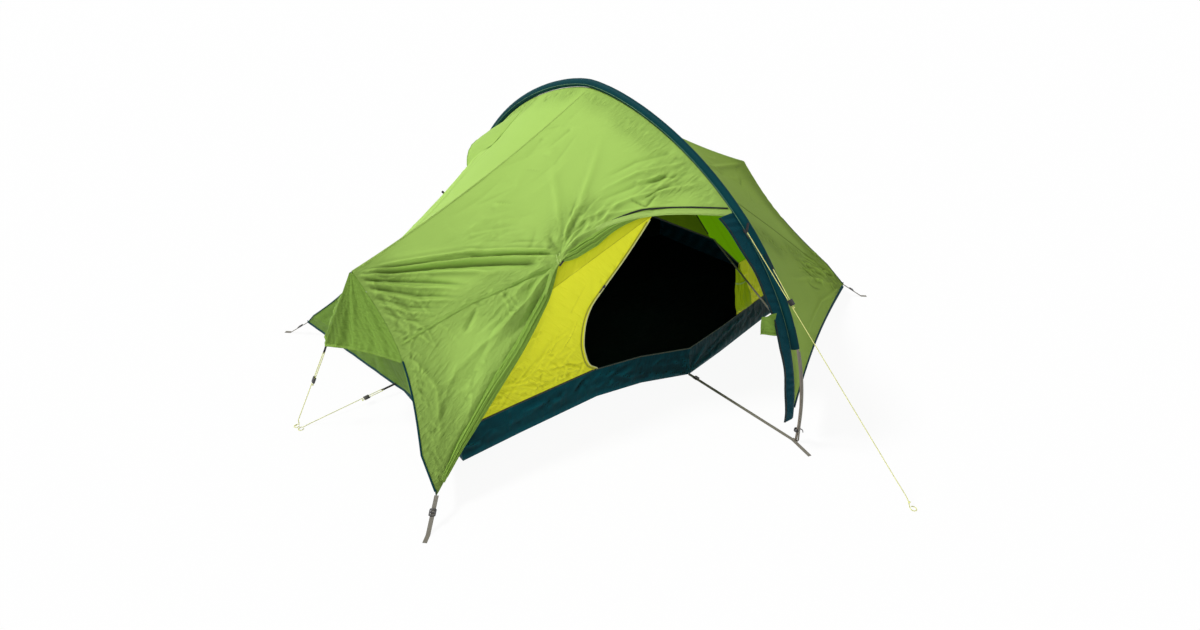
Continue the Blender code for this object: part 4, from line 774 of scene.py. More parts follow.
def smooth(mesh, angle):
    """Smooth shading, with edges kept sharp above an angle."""
    mesh.shade_smooth()
    mesh.set_sharp_from_angle(angle=math.radians(angle))


def new_mesh(name, points, faces, uv, *materials):
    """A mesh from points and faces, with a UV value for each corner of each face."""
    mesh = bpy.data.meshes.new(name)
    mesh.from_pydata(points.reshape(-1, 3).tolist(), [], faces)
    for material in materials:
        mesh.materials.append(material)
    mesh.uv_layers.new(name="cloth").data.foreach_set("uv", uv.astype(np.float32).ravel())
    return mesh


def mark(thing, name, values):
    """A value at each point, read by the cloth's material."""
    made = thing.data.attributes.new(name, "FLOAT", "POINT")
    made.data.foreach_set("value", values.ravel().astype(np.float32))


def fit(thing, body, nodes):
    """Put a finished piece on its body, in place of its nodes."""
    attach(thing, body)
    if nodes:
        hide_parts(*nodes)
    return thing


def flat_map(points):
    """A map in metres, from laying a gently curved grid on its own plane."""
    flat = points.reshape(-1, 3)
    centre = flat.mean(0)
    _, _, axes = np.linalg.svd((flat - centre)[::7], full_matrices=False)
    return (flat - centre) @ axes[:2].T


def hollows(points, normals, reach=3, depth=0.0022):
    """How far each point lies under the cloth around it; above it the value is negative."""
    padded = np.pad(points, ((reach, reach), (reach, reach), (0, 0)), mode="edge")
    rows, columns = points.shape[:2]
    total = sum(padded[k:k + rows, reach:reach + columns] + padded[reach:reach + rows, k:k + columns]
                for k in range(2 * reach + 1))
    return np.clip(dot(total / (4 * reach + 2) - points, normals)[..., 0] / depth, -1, 1)


def cloth(name, points, outer, inner=None, nodes=(), thickness=CLOTH,
          facing=None, uv=None, crease_and_shade=0.3, declare=True, shaded=0.0):
    """A sheet from a grid of points, with an outer face, an inner face and its edges."""
    shape = points.shape[:2]
    crease_and_shade, shaded = np.broadcast_to(crease_and_shade, shape), np.broadcast_to(shaded, shape)
    if faces_in(points, facing):
        points, crease_and_shade, shaded = points[:, ::-1], crease_and_shade[:, ::-1], shaded[:, ::-1]
        uv = None if uv is None else uv[:, ::-1]
    normals = grid_normals(points)
    uv = flat_map(points) if uv is None else uv.reshape(-1, 2)
    total = shape[0] * shape[1]
    index = np.arange(total).reshape(shape)
    quads = np.stack([index[:-1, :-1], index[1:, :-1], index[1:, 1:], index[:-1, 1:]], -1).reshape(-1, 4)
    rim = np.concatenate([index[0, :], index[1:, -1], index[-1, -2::-1], index[-2:0:-1, 0]])
    after = np.roll(rim, -1)
    sides = np.stack([rim, after, after + total, rim + total], -1)
    faces = np.concatenate([quads, quads[:, ::-1] + total, sides])
    marks = np.repeat([0, 1, 0], [len(quads), len(quads), len(sides)]).astype(np.int32)
    mesh = new_mesh(name, np.stack([points, points - normals * thickness]), faces.tolist(),
                    np.tile(uv, (2, 1))[faces.ravel()], outer, inner or outer)
    mesh.polygons.foreach_set("material_index", marks)
    smooth(mesh, 60)
    thing = link(name, mesh)
    # Marks for the material: how creased the cloth is, for its small creases and for painted shade in them; and how
    # deep it lies in a hollow plus the given shaded level, for painted shade, with a painted highlight where it stands
    # proud.
    mark(thing, "crease_and_shade", np.tile(crease_and_shade.ravel(), 2))
    mark(thing, "painted_shade_and_highlight", np.tile(np.clip(hollows(points, normals) + shaded, -1, 1).ravel(), 2))
    fit(thing, "tent", nodes)
    if declare:
        a = points[1:, :-1] - points[:-1, :-1]
        b = points[:-1, 1:] - points[:-1, :-1]
        area = float(np.sum(np.linalg.norm(np.cross(a, b), axis=-1)))
        size = np.sort(np.ptp(flat_map(points), axis=0))
        grow = math.sqrt(max(1.0, area * 1.01 / float(size[0] * size[1])))
        width, length = float(size[0]) * grow, float(size[1]) * grow
        area = max(area, 0.31 * width * length)
    return thing


def even(path, count, curve=straight):
    """The same path with so many points at even steps."""
    reach = lengths(path)
    return read(curve, reach, path, np.linspace(0, reach[-1], count))


def resample(path, step):
    """The same path with points about a step apart."""
    return even(path, max(2, int(round(lengths(path)[-1] / step)) + 1))


def swept(name, rings, uv, material, nodes=(), slot=None):
    """A closed tube of any section through rings of points, with capped ends."""
    count, sides = rings.shape[:2]
    index = np.arange(count * sides).reshape(count, sides)
    after = np.roll(index, -1, axis=1)
    faces = np.stack([index[:-1], after[:-1], after[1:], index[1:]], -1).reshape(-1, 4).tolist()
    along, around = uv
    row, column = np.indices((count - 1, sides)).reshape(2, -1)
    corners = np.array([(along[row + r], around[column + c]) for r, c in ((0, 0), (0, 1), (1, 1), (1, 0))])
    caps = np.repeat([[along[0], 0], [along[-1], 0]], sides, axis=0)
    mesh = new_mesh(name, rings, faces + [index[0, ::-1].tolist(), index[-1].tolist()],
                    np.concatenate([corners.transpose(2, 0, 1).reshape(-1, 2), caps]), material)
    work = bmesh.new()
    work.from_mesh(mesh)
    bmesh.ops.recalc_face_normals(work, faces=work.faces)
    work.to_mesh(mesh)
    work.free()
    smooth(mesh, 50)
    return fit(link(name, mesh), "tent", nodes)


def strap(name, path, across, width, thickness, material, **more):
    """A flat strap or tape with rounded edges along a path."""
    tangent = unit(np.gradient(path, axis=0))
    side = unit(across - tangent * dot(across, tangent))
    normal = unit(np.cross(side, tangent))
    w, t = width / 2, thickness / 2
    section = np.array([(-w, 0), (-w + t * .6, -t), (-w * .45, -t), (w * .45, -t), (w - t * .6, -t),
                        (w, 0), (w - t * .6, t), (w * .45, t), (-w * .45, t), (-w + t * .6, t)])
    rings = path[:, None] + side[:, None] * section[:, :1] + normal[:, None] * section[:, 1:]
    return swept(name, rings, (lengths(path), np.append(section[:, 0], -w)), material, **more)


def tube(name, path, radius, material, sides=10, **more):
    """A round tube along a path, with one radius or one for each point."""
    tangent = unit(np.gradient(path, axis=0))
    up = np.zeros_like(path)
    guide = Z_AXIS if abs(tangent[0][2]) < 0.9 else X_AXIS
    for i, along in enumerate(tangent):
        guide = up[i] = unit(guide - along * np.dot(guide, along))
    radius = np.broadcast_to(radius, len(path))
    size = radius[:, None, None]
    rings = oval(path[:, None], np.cross(tangent, up)[:, None] * size, up[:, None] * size, full_turn(sides))
    girth = np.linspace(0, 2 * math.pi, sides + 1) * float(np.mean(radius))
    return swept(name, rings, (lengths(path), girth), material, **more)


# Camera, lights and floor
scene = bpy.context.scene
camera = scene.camera = link("camera", bpy.data.cameras.new("camera"))
camera.data.lens, camera.data.sensor_width = 17.646, 36.0
camera.location = (-1.655, -2.120, 1.539)
camera.rotation_euler = (math.pi / 2 - 0.523, 0.0, -0.680)
scene.view_settings.view_transform = "Standard"
for name, towards, strength, angle in (("key", (-0.45, 0.48, 0.75), 2.45, 0.20),
                                       ("fill", (-0.60, -0.72, 0.34), 0.70, 1.0)):
    light = bpy.data.lights.new(name, "SUN")
    light.energy, light.angle = strength, angle
    link(name, light).rotation_euler = Vector(towards).to_track_quat("Z", "Y").to_euler()


def seen_white(tree, shader, kind, strength, output):
    """Mix a shader with plain white for the camera and for reflections."""
    seen = [node(tree, "LightPath", out=f"Is {ray} Ray") for ray in ("Camera", "Glossy", "Transmission")]
    share = seen[0].maths("MAXIMUM", seen[1]).maths("MAXIMUM", seen[2]) * strength
    made = node(tree, "MixShader", share, Wire(tree, shader.outputs[0]), node(tree, kind, (1, 1, 1), 1.0))
    plug(tree, tree.nodes[output].inputs["Surface"], made)


world = scene.world = bpy.data.worlds.new("studio")
world.use_nodes = True
sky = world.node_tree.nodes["Background"]
sky.inputs["Color"].default_value = (1, 1, 1, 1)
sky.inputs["Strength"].default_value = 0.29
seen_white(world.node_tree, sky, "Background", 1.0, "World Output")

paper = Look("floor_white", 0.9, 0.0, 0.1)
paper.set("Base Color", blend(noise(paper.place, 35.0, 4.0), (.97, .97, .97), (.99, .99, .99)))
seen_white(paper.tree, paper.shader, "Emission", 0.93, "Material Output")
bpy.ops.mesh.primitive_plane_add(size=120, location=(0, 0, -CLOTH))
floor = bpy.context.object
floor.name = "floor"
floor.data.materials.append(paper.material)
floor.select_set(False)

# Cords
GROUND = CORD_DIAMETER / 2 + FIT
FRONT_PEG = np.array([0.021, -1.707, GROUND])
END_PEG, BASE_PEG = np.array([-TIP_PEG_X, 0.024, GROUND]), np.array([-BASE_PEG_X, -0.004, GROUND])
RUNNER_LENGTH, RUNNER_BORE, LOOP_HALF = 0.022, 0.0038, 0.006
TIP_TAB_LENGTH, BASE_TAB_LENGTH = 0.030, 0.062


def peg_loop(peg, toward_tent):
    """The loop that goes over a peg, lying on the ground."""
    start = math.atan2(toward_tent[1], toward_tent[0]) + math.radians(30)
    return oval(peg, X_AXIS * 0.010, Y_AXIS * 0.010, start + np.linspace(0, math.radians(300), 27))


def knot(name, centre, axis, size):
    """A small overhand knot of the cord itself."""
    t = full_turn(48)
    shape = np.stack([np.sin(t) + 2 * np.sin(2 * t), np.cos(t) - 2 * np.cos(2 * t), -1.4 * np.sin(3 * t)], -1)
    side = unit(np.cross(axis, Z_AXIS if abs(axis[2]) < 0.9 else X_AXIS))
    place = shape @ np.stack([side, np.cross(axis, side), axis]) * size / 3 + centre
    place = np.concatenate([place, place[:1]])
    place[:, 2] = np.maximum(place[:, 2], CORD_DIAMETER / 2 + .0002)
    return tube(name, place, CORD_DIAMETER * 0.5, CORD, 8, slot="pale_cord")


def cord(name, path, pieces):
    """A braided cord along its path."""
    fine = resample(path, 0.004)
    piece = tube(name + "_braid", fine, CORD_DIAMETER / 2, CORD, 10, nodes=(name,), slot="pale_cord")


def doubled_guyline(name, hook, runner_share, peg):
    """A cord from its knot up round a tab, back through its runner and on to a peg."""
    along = unit(peg - hook)
    half = unit(Y_AXIS - along * along[1]) * LOOP_HALF
    start = mix(hook, peg, runner_share) - half + along * (RUNNER_LENGTH / 2 + 0.008)
    bend = oval(hook, -half, -along * LOOP_HALF, np.linspace(0, math.pi, 17))
    low = mix(hook, peg, 0.93) + half
    tail = np.concatenate([[low], peg_loop(peg, -along)])
    path = np.concatenate([[start, mix(start, hook - half, 0.5)], bend, [mix(hook + half, low, 0.5)],
                           even(tail, 80, through)])
    cord(name, path, [knot(name + "_knot", start, along, 0.0022),
                      knot(name + "_peg_knot", low + along * 0.030, along, 0.0024)])


def tip_tab(end):
    """Start and direction of the tape loop at the tip of a strut."""
    down = unit(X_AXIS * (end * TIP_PEG_X) - strut_tip(end))
    return strut_tip(end) + down * FIT, down


def base_tab(end):
    """Start and direction of the tape loop at the foot of an end wall."""
    start = np.array([end * BASE_TAB_X, 0, 0.036])
    return start, unit(X_AXIS * (end * BASE_PEG_X) - start)


upper = arch(0.560, -1) + np.array([-0.045, -0.0375, 0.0012])
lower = arch(0.625, -1) + np.array([-0.038, -0.0693, -0.0092])
front_along = unit(FRONT_PEG - upper)
stations = mix(upper, FRONT_PEG, np.array([[0.25], [0.5], [0.75], [0.9], [0.965]]))
tail = np.concatenate([stations[3:], peg_loop(FRONT_PEG, -front_along)])
cord("front_guyline", np.concatenate([[upper + front_along * 0.0031], stations[:3], even(tail, 90, through)]),
     [knot("front_peg_knot", tail[1] + front_along * 0.014, front_along, 0.0026)])

centre = upper + front_along * 0.2905
aside = unit((lower - upper) - front_along * np.dot(lower - upper, front_along))
drift = math.tan(math.acos(float(np.dot(unit(centre - lower), front_along))))
apart = RUNNER_BORE + CORD_DIAMETER / 2 + 0.001 + drift * RUNNER_LENGTH / 2
crossing = centre + aside * apart
aim = unit(crossing - lower)
branch_end = crossing + aim * (RUNNER_LENGTH / 2 + 0.010)
cord("front_guyline_branch", np.array([lower + aim * 0.0023, branch_end]),
     [knot("branch_knot", branch_end - aim * 0.001, aim, 0.0022)])

HANG = WEBBING - math.sqrt((LOOP_HALF - CORD_DIAMETER / 2 - FIT) ** 2 - 0.004 ** 2) + FIT
for name, (start, out), long, share, peg in (("end_guyline", tip_tab(-1), TIP_TAB_LENGTH, 0.36, END_PEG),
                                             ("base_guyline", base_tab(-1), BASE_TAB_LENGTH, 0.20, BASE_PEG)):
    doubled_guyline(name, start + out * (long - HANG), share, peg)


# Flysheet
def spaced(count, where, weight):
    """Even stations drawn closer together round one place."""
    fine = np.linspace(0, 1, 2001)
    dense = 1 + weight * np.exp(-((fine - where[0]) / where[1]) ** 2)
    reach = np.concatenate([[0], np.cumsum(dense[1:])])
    return np.interp(np.linspace(0, reach[-1], count), reach, fine)


def crease_level(points, folds):
    """How creased the cloth is at each point: more where small folds lie close together."""
    middles = np.array([fold["line"][len(fold["line"]) // 2] for fold in folds if fold["width"] < .0101])
    flat = points.reshape(-1, 3)
    level = np.zeros(len(flat))
    for start in range(0, len(flat), 4000):
        far = np.linalg.norm(flat[start:start + 4000, None] - middles[None], axis=2)
        level[start:start + 4000] = np.sum(np.exp(-(far / 0.06) ** 2), axis=1)
    return np.clip(0.10 + level.reshape(points.shape[:-1]) * 0.16, 0.10, 1.0)


def fly_piece(name, surface, u, low, high, columns, nodes, spread=((0.8, 0.3), 0.5)):
    """A piece of the flysheet between two lines across a panel."""
    t = spaced(columns, *spread)[None, :]
    u = u[:, None]
    share = mix(low(u), high(u), t)
    points = surface(u + 0 * t, share)
    # Painted shade: the crease level is raised towards the end edges, which darkens the colour there.
    level = np.clip(crease_level(points, surface.folds) + .80 * rise(u, .80, .96) ** 1.2, 0, 1)
    # Painted shade towards the end edges and the lower corner, and under the rolled rim of the door.
    shaded = .34 * rise(u, .86, .96) + .26 * rise(share, .55, .85) * rise(u, .82, .92)
    if surface is front_left:
        edge = rise(share, door_edge(u) - .036, door_edge(u)) * rise(u, TIE_SHARE, TIE_SHARE + .05)
        shaded = shaded + .75 * edge + .10 * rise(u, TIE_SHARE, TIE_SHARE + .2)
    # The front right panel takes the painted-shade copy of the green.
    cloth(name, points, FLY_SHADED if surface is front_right else FLY_GREEN, FLY_INSIDE_GLOW, nodes,
          crease_and_shade=level, shaded=shaded)


def surface_strip(name, surface, pairs, width, material, lift, thickness=0.0007, steps=None, slot="green_nylon"):
    """A tape sewn on a panel along a line of shares, following its folds."""
    pairs = np.array(pairs, float)
    reach = lengths(surface.base(*pairs.T))
    count = steps or max(8, int(reach[-1] / 0.006))
    u, share = read(through, reach / reach[-1], pairs, np.linspace(0, 1, count)).T
    step = 0.003
    point = surface.base(u, share)
    du = (surface.base(u + step, share) - surface.base(u - step, share)) / (2 * step)
    ds = (surface.base(u, share + step) - surface.base(u, share - step)) / (2 * step)
    side = unit(np.cross(unit(np.cross(du, ds)), unit(np.gradient(point, axis=0))))
    a, b, c, p, q = (dot(*pair)[:, 0] for pair in ((du, du), (du, ds), (ds, ds), (side, du), (side, ds)))
    size = a * c - b * b
    move_u, move_s = (p * c - q * b) / size, (q * a - p * b) / size
    across = np.array([-1, -.9, -.45, 0, .45, .9, 1]) * width / 2
    crown = np.array([0.2, .9, 1, 1.06, 1, .9, 0.2])
    points = np.stack([surface(u + move_u * w, share + move_s * w, lift * k) for w, k in zip(across, crown)], 1)
    uv = np.stack(np.broadcast_arrays(lengths(point)[:, None], across[None, :]), -1)
    return cloth(name, points, material, thickness=thickness, uv=uv, declare=False,
                 facing=unit(points - INSIDE))


def beside_door(first, last, count, off, more=0.0):
    """Shares along the door's edge, a little inside the panel."""
    return [(u, float(door_edge(u)) - off + more * max(0, u - .2)) for u in np.linspace(first, last, count)]


def door_seam(u):
    """Share at which the upper and lower pieces of the door panel are sewn."""
    return straight(SEAM_LINE, u)


def upper_edge(u):
    """Lower edge of the upper piece of the door panel: the door's edge, then the seam."""
    return np.where(u < TIE_SHARE, door_edge(u), np.minimum(door_seam(u), door_edge(u)))


def flysheet():
    """The four quarters of the flysheet with their seams, hems and bindings."""
    trims = [surface_strip(*row, slot=slot) for slot, *row in (
        ("green_nylon", "fly_seam_front_left", front_left, SEAM_LINE[:-1] + [(.985, .391)], .013, HEM_GREEN, .0016),
        ("black_webbing", "door_zip_tape", front_left, beside_door(.004, .30, 12, .0195, .09), .0062, ZIP_BLACK,
         .0024),
        ("green_nylon", "door_rim_band", front_left, beside_door(.004, .335, 12, .0072), .021, RIM_GREEN, .0028))]
    for k, (a, b) in enumerate(((-.004, -.016), (.004, -.006))):
        line = [(TIE_SHARE + a, TIE_DOWN - .001), (TIE_SHARE + b, .404)]
        trims.append(surface_strip(f"tie_tape_{k}", front_left, line, .0032, LOOP_GREEN, .0080, .0008, 14))
    right_part = 1 - TIE_SHARE
    stations = np.concatenate([np.linspace(0, .47, 90)[:-1], TIE_SHARE + right_part * spaced(118, (.75, .4), .6)])
    fly_piece("fly_panel_front_left", front_left, stations, lambda u: 0 * u, upper_edge, 225, ["fly_front_left"])
    rim = surface_strip("door_rim_lower", front_left, beside_door(.50, .975, 26, .007), .016, HEM_GREEN, .0022)
    fly_piece("fly_panel_front_left_low", front_left, TIE_SHARE + right_part * np.linspace(0, 1, 190),
              lambda u: np.minimum(door_seam(u), door_edge(u) - .0008), door_edge, 200, (), ((.5, 1), 0))
    right_line = [(.02, .468), (.30, .468), (.45, .490), (.60, .534), (.70, .584), (.80, .658), (.90, .790),
                  (.955, .90)]
    rear_line = [(.02, .503), (.375, .579), (.807, .678), (.985, .72)]
    for name, surface, seam in (("front_right", front_right, (right_line, .009, RIGHT_SEAM, .0014)),
                                ("rear_left", rear_left, (rear_line, .013, HEM_GREEN, .0016)),
                                ("rear_right", rear_right, (rear_line, .013, HEM_GREEN, .0016))):
        sewn = surface_strip(f"fly_seam_{name}", surface, *seam)
        hem = np.array([(u, hem_edge(u)) for u in np.linspace(.004, .985, 20)])
        path = surface(*read(through, np.linspace(0, 1, len(hem)), hem, np.linspace(0, 1, 200)).T)
        u = np.linspace(.004, .985, 200)
        bound = strap(f"fly_hem_{name}", path, surface(u, .5) - surface(u, .55), .016, .0026, HEM_TEAL,
                      slot="teal_nylon")
        fly_piece(f"fly_panel_{name}", surface, spaced(200, (.92, .12), 1.0), lambda u: 0 * u, hem_edge, 225,
                  [f"fly_{name}"], ((.85, .3), .8))
    for end, name in ENDS:
        surface_strip(f"ridge_seam_{name}", front_left if end < 0 else front_right,
                      [(u, .0048) for u in np.linspace(.012, .975, 14)], .008, RIDGE_GREEN, .0004, .0003)
        for side, front in SIDES:
            edge = arris(np.linspace(.46, .985, 130), end, side)
            out = unit(edge - np.array([end * .7, 0, .05]))
            strap(f"end_edge_{front}_{name}", edge + out * .001, np.cross(np.gradient(edge, axis=0), out)
                  * (-side * end), .007, .0026, HEM_TEAL, slot="teal_nylon")


def arch_sleeve():
    """The flat sleeve over the pole, with soft puckers along it."""
    path, normal = arch_line(420)
    reach = lengths(path)
    turn, girth = full_turn(20), np.linspace(0, .1, 21)
    rng = np.random.default_rng(41)
    wave = sum(rng.uniform(.3, 1) * np.sin(reach * f + rng.uniform(0, 6)) for f in (38, 61, 97, 150)) / 3
    wide = 0.0138 + 0.0003 * wave
    high = SLEEVE_HALF_HEIGHT + 0.0003 * np.roll(wave, 7)
    rings = oval(path[:, None], by(wide, X_AXIS)[:, None], (normal * high[:, None])[:, None], turn)
    swept("arch_sleeve_cloth", rings, (reach, girth), TEAL, nodes=["arch_sleeve"], slot="teal_nylon")
    # Piping along both edges of the sleeve, pale as a painted highlight.
    for side, name in ENDS:
        line = path + by(side * wide * .97, X_AXIS) - normal * .0052
        tube(f"sleeve_piping_painted_highlight_{name}", line, .0015 if side > 0 else .0009, PIPING_HIGHLIGHT, 8, slot="teal_nylon")
    for end, name in ((slice(0, 12), "rear"), (slice(-12, None), "front")):
        cuff = oval(path[end][:, None], X_AXIS * .0146, (normal[end] * .0181)[:, None], turn)
        swept(f"sleeve_cuff_{name}", cuff, (lengths(path[end]), girth), HEM_TEAL, slot="teal_nylon")


def end_edges(share, across, end):
    """The two end edges of the flysheet, each on its own side of the middle."""
    return np.where(across[..., None] < 0, arris(share, end, -1), arris(share, end, 1))


def hood(end, name):
    """The gathered hood from the end edges out over the strut."""
    down = np.linspace(0.03, 1, 120)[:, None]
    across = np.linspace(-1, 1, 241)[None, :]
    share = np.abs(across)
    tip, top = strut_tip(end), apex(end)
    clear = (0.004 + 0.0008) / math.sin(math.radians(55))
    middle = top + by(down, tip - top) + unit(np.cross(tip - top, Y_AXIS)) * (end * clear)
    edge = end_edges(0.47 * down, across, end) + X_AXIS * (end * 0.001)
    point = mix(middle, edge, share[..., None]) + by(0.014 * 4 * share * (1 - share) * down ** 3, Z_AXIS)
    normal = outward(point, X_AXIS * end)
    held = np.sin(math.pi * share) ** 0.6 * (.55 + .9 * np.exp(-(share / .30) ** 2))
    fan = np.sin(share * 21 + across * 2 + 0.9 * np.sin(down * 5)) + .6 * np.sin(share * 37 + across * 5 + 2)
    small = np.sin(across * 71 + down * 13 + 2 * np.sin(down * 9)) * np.sin(down * 23 + across * 9)
    height = 0.0060 * fan * held * np.clip(down * 1.5, 0, 1) + 0.0016 * small * down
    points = point + normal * height[..., None]
    where = (np.linspace(-.985, .985, 200) + 1) / 2 * 240
    low, above = (read(straight, np.arange(241), points[row], where) for row in (-1, -6))
    hem = strap(f"hood_hem_{name}", mix(low, above, .3), above - low, .011, .0020, HOOD_HEM, slot="green_nylon")
    # Painted shade in the gathers down the middle of the hood.
    cloth(f"hood_{name}", points, HOOD_SHADE_GREEN, FLY_INSIDE_GLOW, [f"fly_hood_{name}"], facing=np.array([end, 0, 0.3]),
          crease_and_shade=.75,
          shaded=.85 * np.exp(-(share / .26) ** 2) * np.clip(down * 2, 0, 1))


def end_wall(end, name):
    """The recessed wall behind the hood, with its straight bound hem."""
    down = np.linspace(0.12, 1, 110)[:, None]
    across = np.linspace(-1, 1, 181)[None, :]
    share = np.abs(across)
    middle = mix(apex(end), np.array([end * WALL_BASE_X, 0, 0.020]), down[..., None])
    point = mix(middle, end_edges(down, across, end), (share * 0.997)[..., None])
    rough = np.sin(share * 31 + down * 4) + .7 * np.sin(share * 53 + 2 - down * 9) * down
    height = 0.0030 * rough * down * np.sin(math.pi * share) ** .5 * np.clip((1 - down) * 14, .15, 1)
    tuck = .075 * 4 * share * (1 - share) * down ** 3 * (across < 0)
    points = point + by(end * (height - tuck), X_AXIS)
    hems = [strap(f"end_wall_hem_{front}_{name}",
                  resample(points[-1, row], .006) + Z_AXIS * .005 + X_AXIS * (end * .0015), Z_AXIS, .015, .0030,
                  HEM_TEAL, slot="teal_nylon") for front, row in (("front", slice(0, 91)), ("rear", slice(90, None)))]
    cloth(f"end_wall_{name}", points, WALL_SHADE_GREEN, FLY_INSIDE_GLOW, [f"fly_end_wall_{name}"],
          facing=np.array([end, 0, 0.1]), crease_and_shade=.6)


# Porch door
ROLL_RADIUS = [(0.0, 0.004), (0.20, 0.006), (0.28, 0.013), (0.36, 0.020), (0.43, 0.019), (TIE_SHARE, 0.012),
               (0.52, 0.014), (0.62, 0.016), (0.8, 0.018), (1.0, 0.007)]
ROLL_SHOWS = [(0.0, 0.0), (0.2, 0.004), (0.28, 0.011), (0.36, 0.021), (0.42, 0.016), (TIE_SHARE, 0.0),
              (0.55, 0.006), (0.7, 0.010), (0.9, 0.008), (1.0, 0.0)]


def door_base(u, share):
    """The door panel as in the source, with the fan of folds that it has there."""
    turn = np.arctan2(share, 1 - u) - math.atan2(TIE_DOWN, 1 - TIE_SHARE)
    length = np.sin(math.pi * np.minimum(np.hypot(1 - u, share) / 0.74, 1)) ** 0.6
    fan = 0.009 * np.exp(-(turn / 0.42) ** 2) * length * np.cos(turn * 24)
    return canopy(u, share, -1, -1) + by(fan, np.array([-0.3, -0.6, 0.74]))


def roll_line(u):
    """Centre line and radius of the rolled door; it hangs a little below the panel's edge."""
    radius = through(ROLL_RADIUS, u)
    share = door_edge(u) - 0.012 + straight(ROLL_SHOWS, u)
    depth = mix(radius * .7 + 0.0030, radius + 0.0055, np.exp(-((u - TIE_SHARE) / .035) ** 2))
    return door_base(u, share) - surface_normal(door_base, u, share) * depth[:, None], radius


def door_roll():
    """The door rolled and pleated along the edge of its opening."""
    u = np.linspace(0.05, 0.965, 340)
    path, radius = roll_line(u)
    tangent = unit(np.gradient(path, axis=0))
    side = unit(np.cross(tangent, Z_AXIS))
    turn = full_turn(96)
    reach = lengths(path)[:, None]
    swirl = turn + reach * .5 + .10 * np.sin(reach * 17)
    shape = .80 + .20 * np.abs(np.cos(4.5 * swirl)) ** .7 + .05 * np.cos(17 * swirl + reach * 9)
    pinch = 1 - .35 * np.exp(-((u - TIE_SHARE) / .025) ** 2)
    size = ((radius * pinch)[:, None] * 1.15 * np.minimum(shape, 1.02))[..., None]
    rings = oval(path[:, None], side[:, None] * size, np.cross(side, tangent)[:, None] * size, turn)
    thing = swept("door_roll_cloth", rings, (reach[:, 0], np.linspace(0, .14, 97)), HOOD_SHADE_GREEN,
                  nodes=["door_roll"], slot="green_nylon")
    # Painted shade in the pleats' hollows and a painted highlight on their crests.
    mark(thing, "painted_shade_and_highlight", np.clip((.88 - shape) * 7, -1, 1))
    mark(thing, "crease_and_shade", np.full(shape.size, .6))


def zip_flap():
    """The strip beside the sleeve that the door zips to, ribbed, hanging free at its foot."""
    share = np.linspace(0.528, 0.955, 420)
    point, normal = arch(share, -1), arch_frame(share, -1, 0.002)[1]
    out = np.linspace(0, 1, 26)[None, :]
    reach = lengths(point)[:, None]
    ribs = np.sin(reach * 150 + out * 3 + 3 * np.sin(reach * 19)) * (out * (1 - out) * 4) ** .7
    wave = 0.0022 * out ** 2 * np.sin(reach * 34) + 0.0022 * ribs * (.55 + .45 * np.sin(reach * 41)) \
        - 0.004 * np.exp(-(out / .14) ** 2) - 0.010 * out ** 2
    wide = 0.050 + 0.026 * np.clip(1 - reach / .30, 0, 1) ** 1.5
    place = point[:, None] - by(SLEEVE_HALF_WIDTH + 0.001 + wide * out, X_AXIS) + normal[:, None] * wave[..., None]
    coil = strap("zip_flap_coil", place[:, -3] + normal * .0012, X_AXIS, .005, .0016, ZIP_BLACK,
                 slot="black_webbing")
    cloth("zip_flap_strip", place, FLAP_TEAL, TEAL, ["zip_flap"], facing=np.array([0, -1, 0.4]),
          uv=np.stack([reach + 0 * out, 0.052 * out + 0 * reach], -1),
          crease_and_shade=.8)


# Inner tent
PULL = [(-1.040, 0.0), (-0.42, 0.06), (-0.21, 0.39), (0.0, 1.0), (0.25, 0.76), (0.66, 0.28), (1.040, 0.0)]
TUB_STATIONS = np.array([-1.040, -0.80, -0.42, -0.21, 0.0, 0.25, 0.66, 0.85, 1.040])
FRONT_SHOULDER = [(-1.040, .380, .265), (DOOR_PEAK_X, .600, RIDGE_HEIGHT - .295),
                  (BAND_X, .643, RIDGE_HEIGHT - .460), (0.380, .612, .400), (1.040, .380, .265)]
REAR_SHOULDER = [(-1.040, .380, .265), (0.0, .600, RIDGE_HEIGHT - .295), (1.040, .380, .265)]
DOOR_LEFT = [(0.0, -0.410), (0.06, -0.443), (0.16, -0.460), (0.30, -0.467), (0.49, -0.452), (0.61, -0.423),
             (0.70, -0.375), (0.85, -0.273), (1.0, DOOR_PEAK_X)]


def floor_y(x):
    """Half the floor's width: straight between the source's stations, so that the strap pulls out a point."""
    return FLOOR_HALF_WIDTH + 0.143 * np.interp(x, TUB_STATIONS, through(PULL, TUB_STATIONS))


def shoulder(x, side):
    """Where a long wall meets the roof."""
    line = np.array(FRONT_SHOULDER if side < 0 else REAR_SHOULDER)
    y, z = (np.interp(x, line[:, 0], line[:, k]) for k in (1, 2))
    return np.stack([x + 0 * y, side * y, z], -1)


def ridge(x):
    """Top line of the inner tent."""
    share = np.abs(x) / FLOOR_HALF_LENGTH
    return np.stack([x, 0 * x, mix(RIDGE_HEIGHT, 0.470, share) - 0.020 * 4 * share * (1 - share)], -1)


def tub_top(x, side):
    """Top edge of the tub."""
    return np.stack([x, side * (floor_y(x) - TUB_LEAN), 0 * x + TUB_HEIGHT], -1)


def wall(x, share, side):
    """A long wall, from the tub to the shoulder."""
    return mix(tub_top(x, side) + Z_AXIS * 0.001, shoulder(x, side), np.asarray(share)[..., None] * 0.998)


def off_wall(points, away):
    """Points moved out from the front wall."""
    return points + np.array([0, -.93, .37]) * away


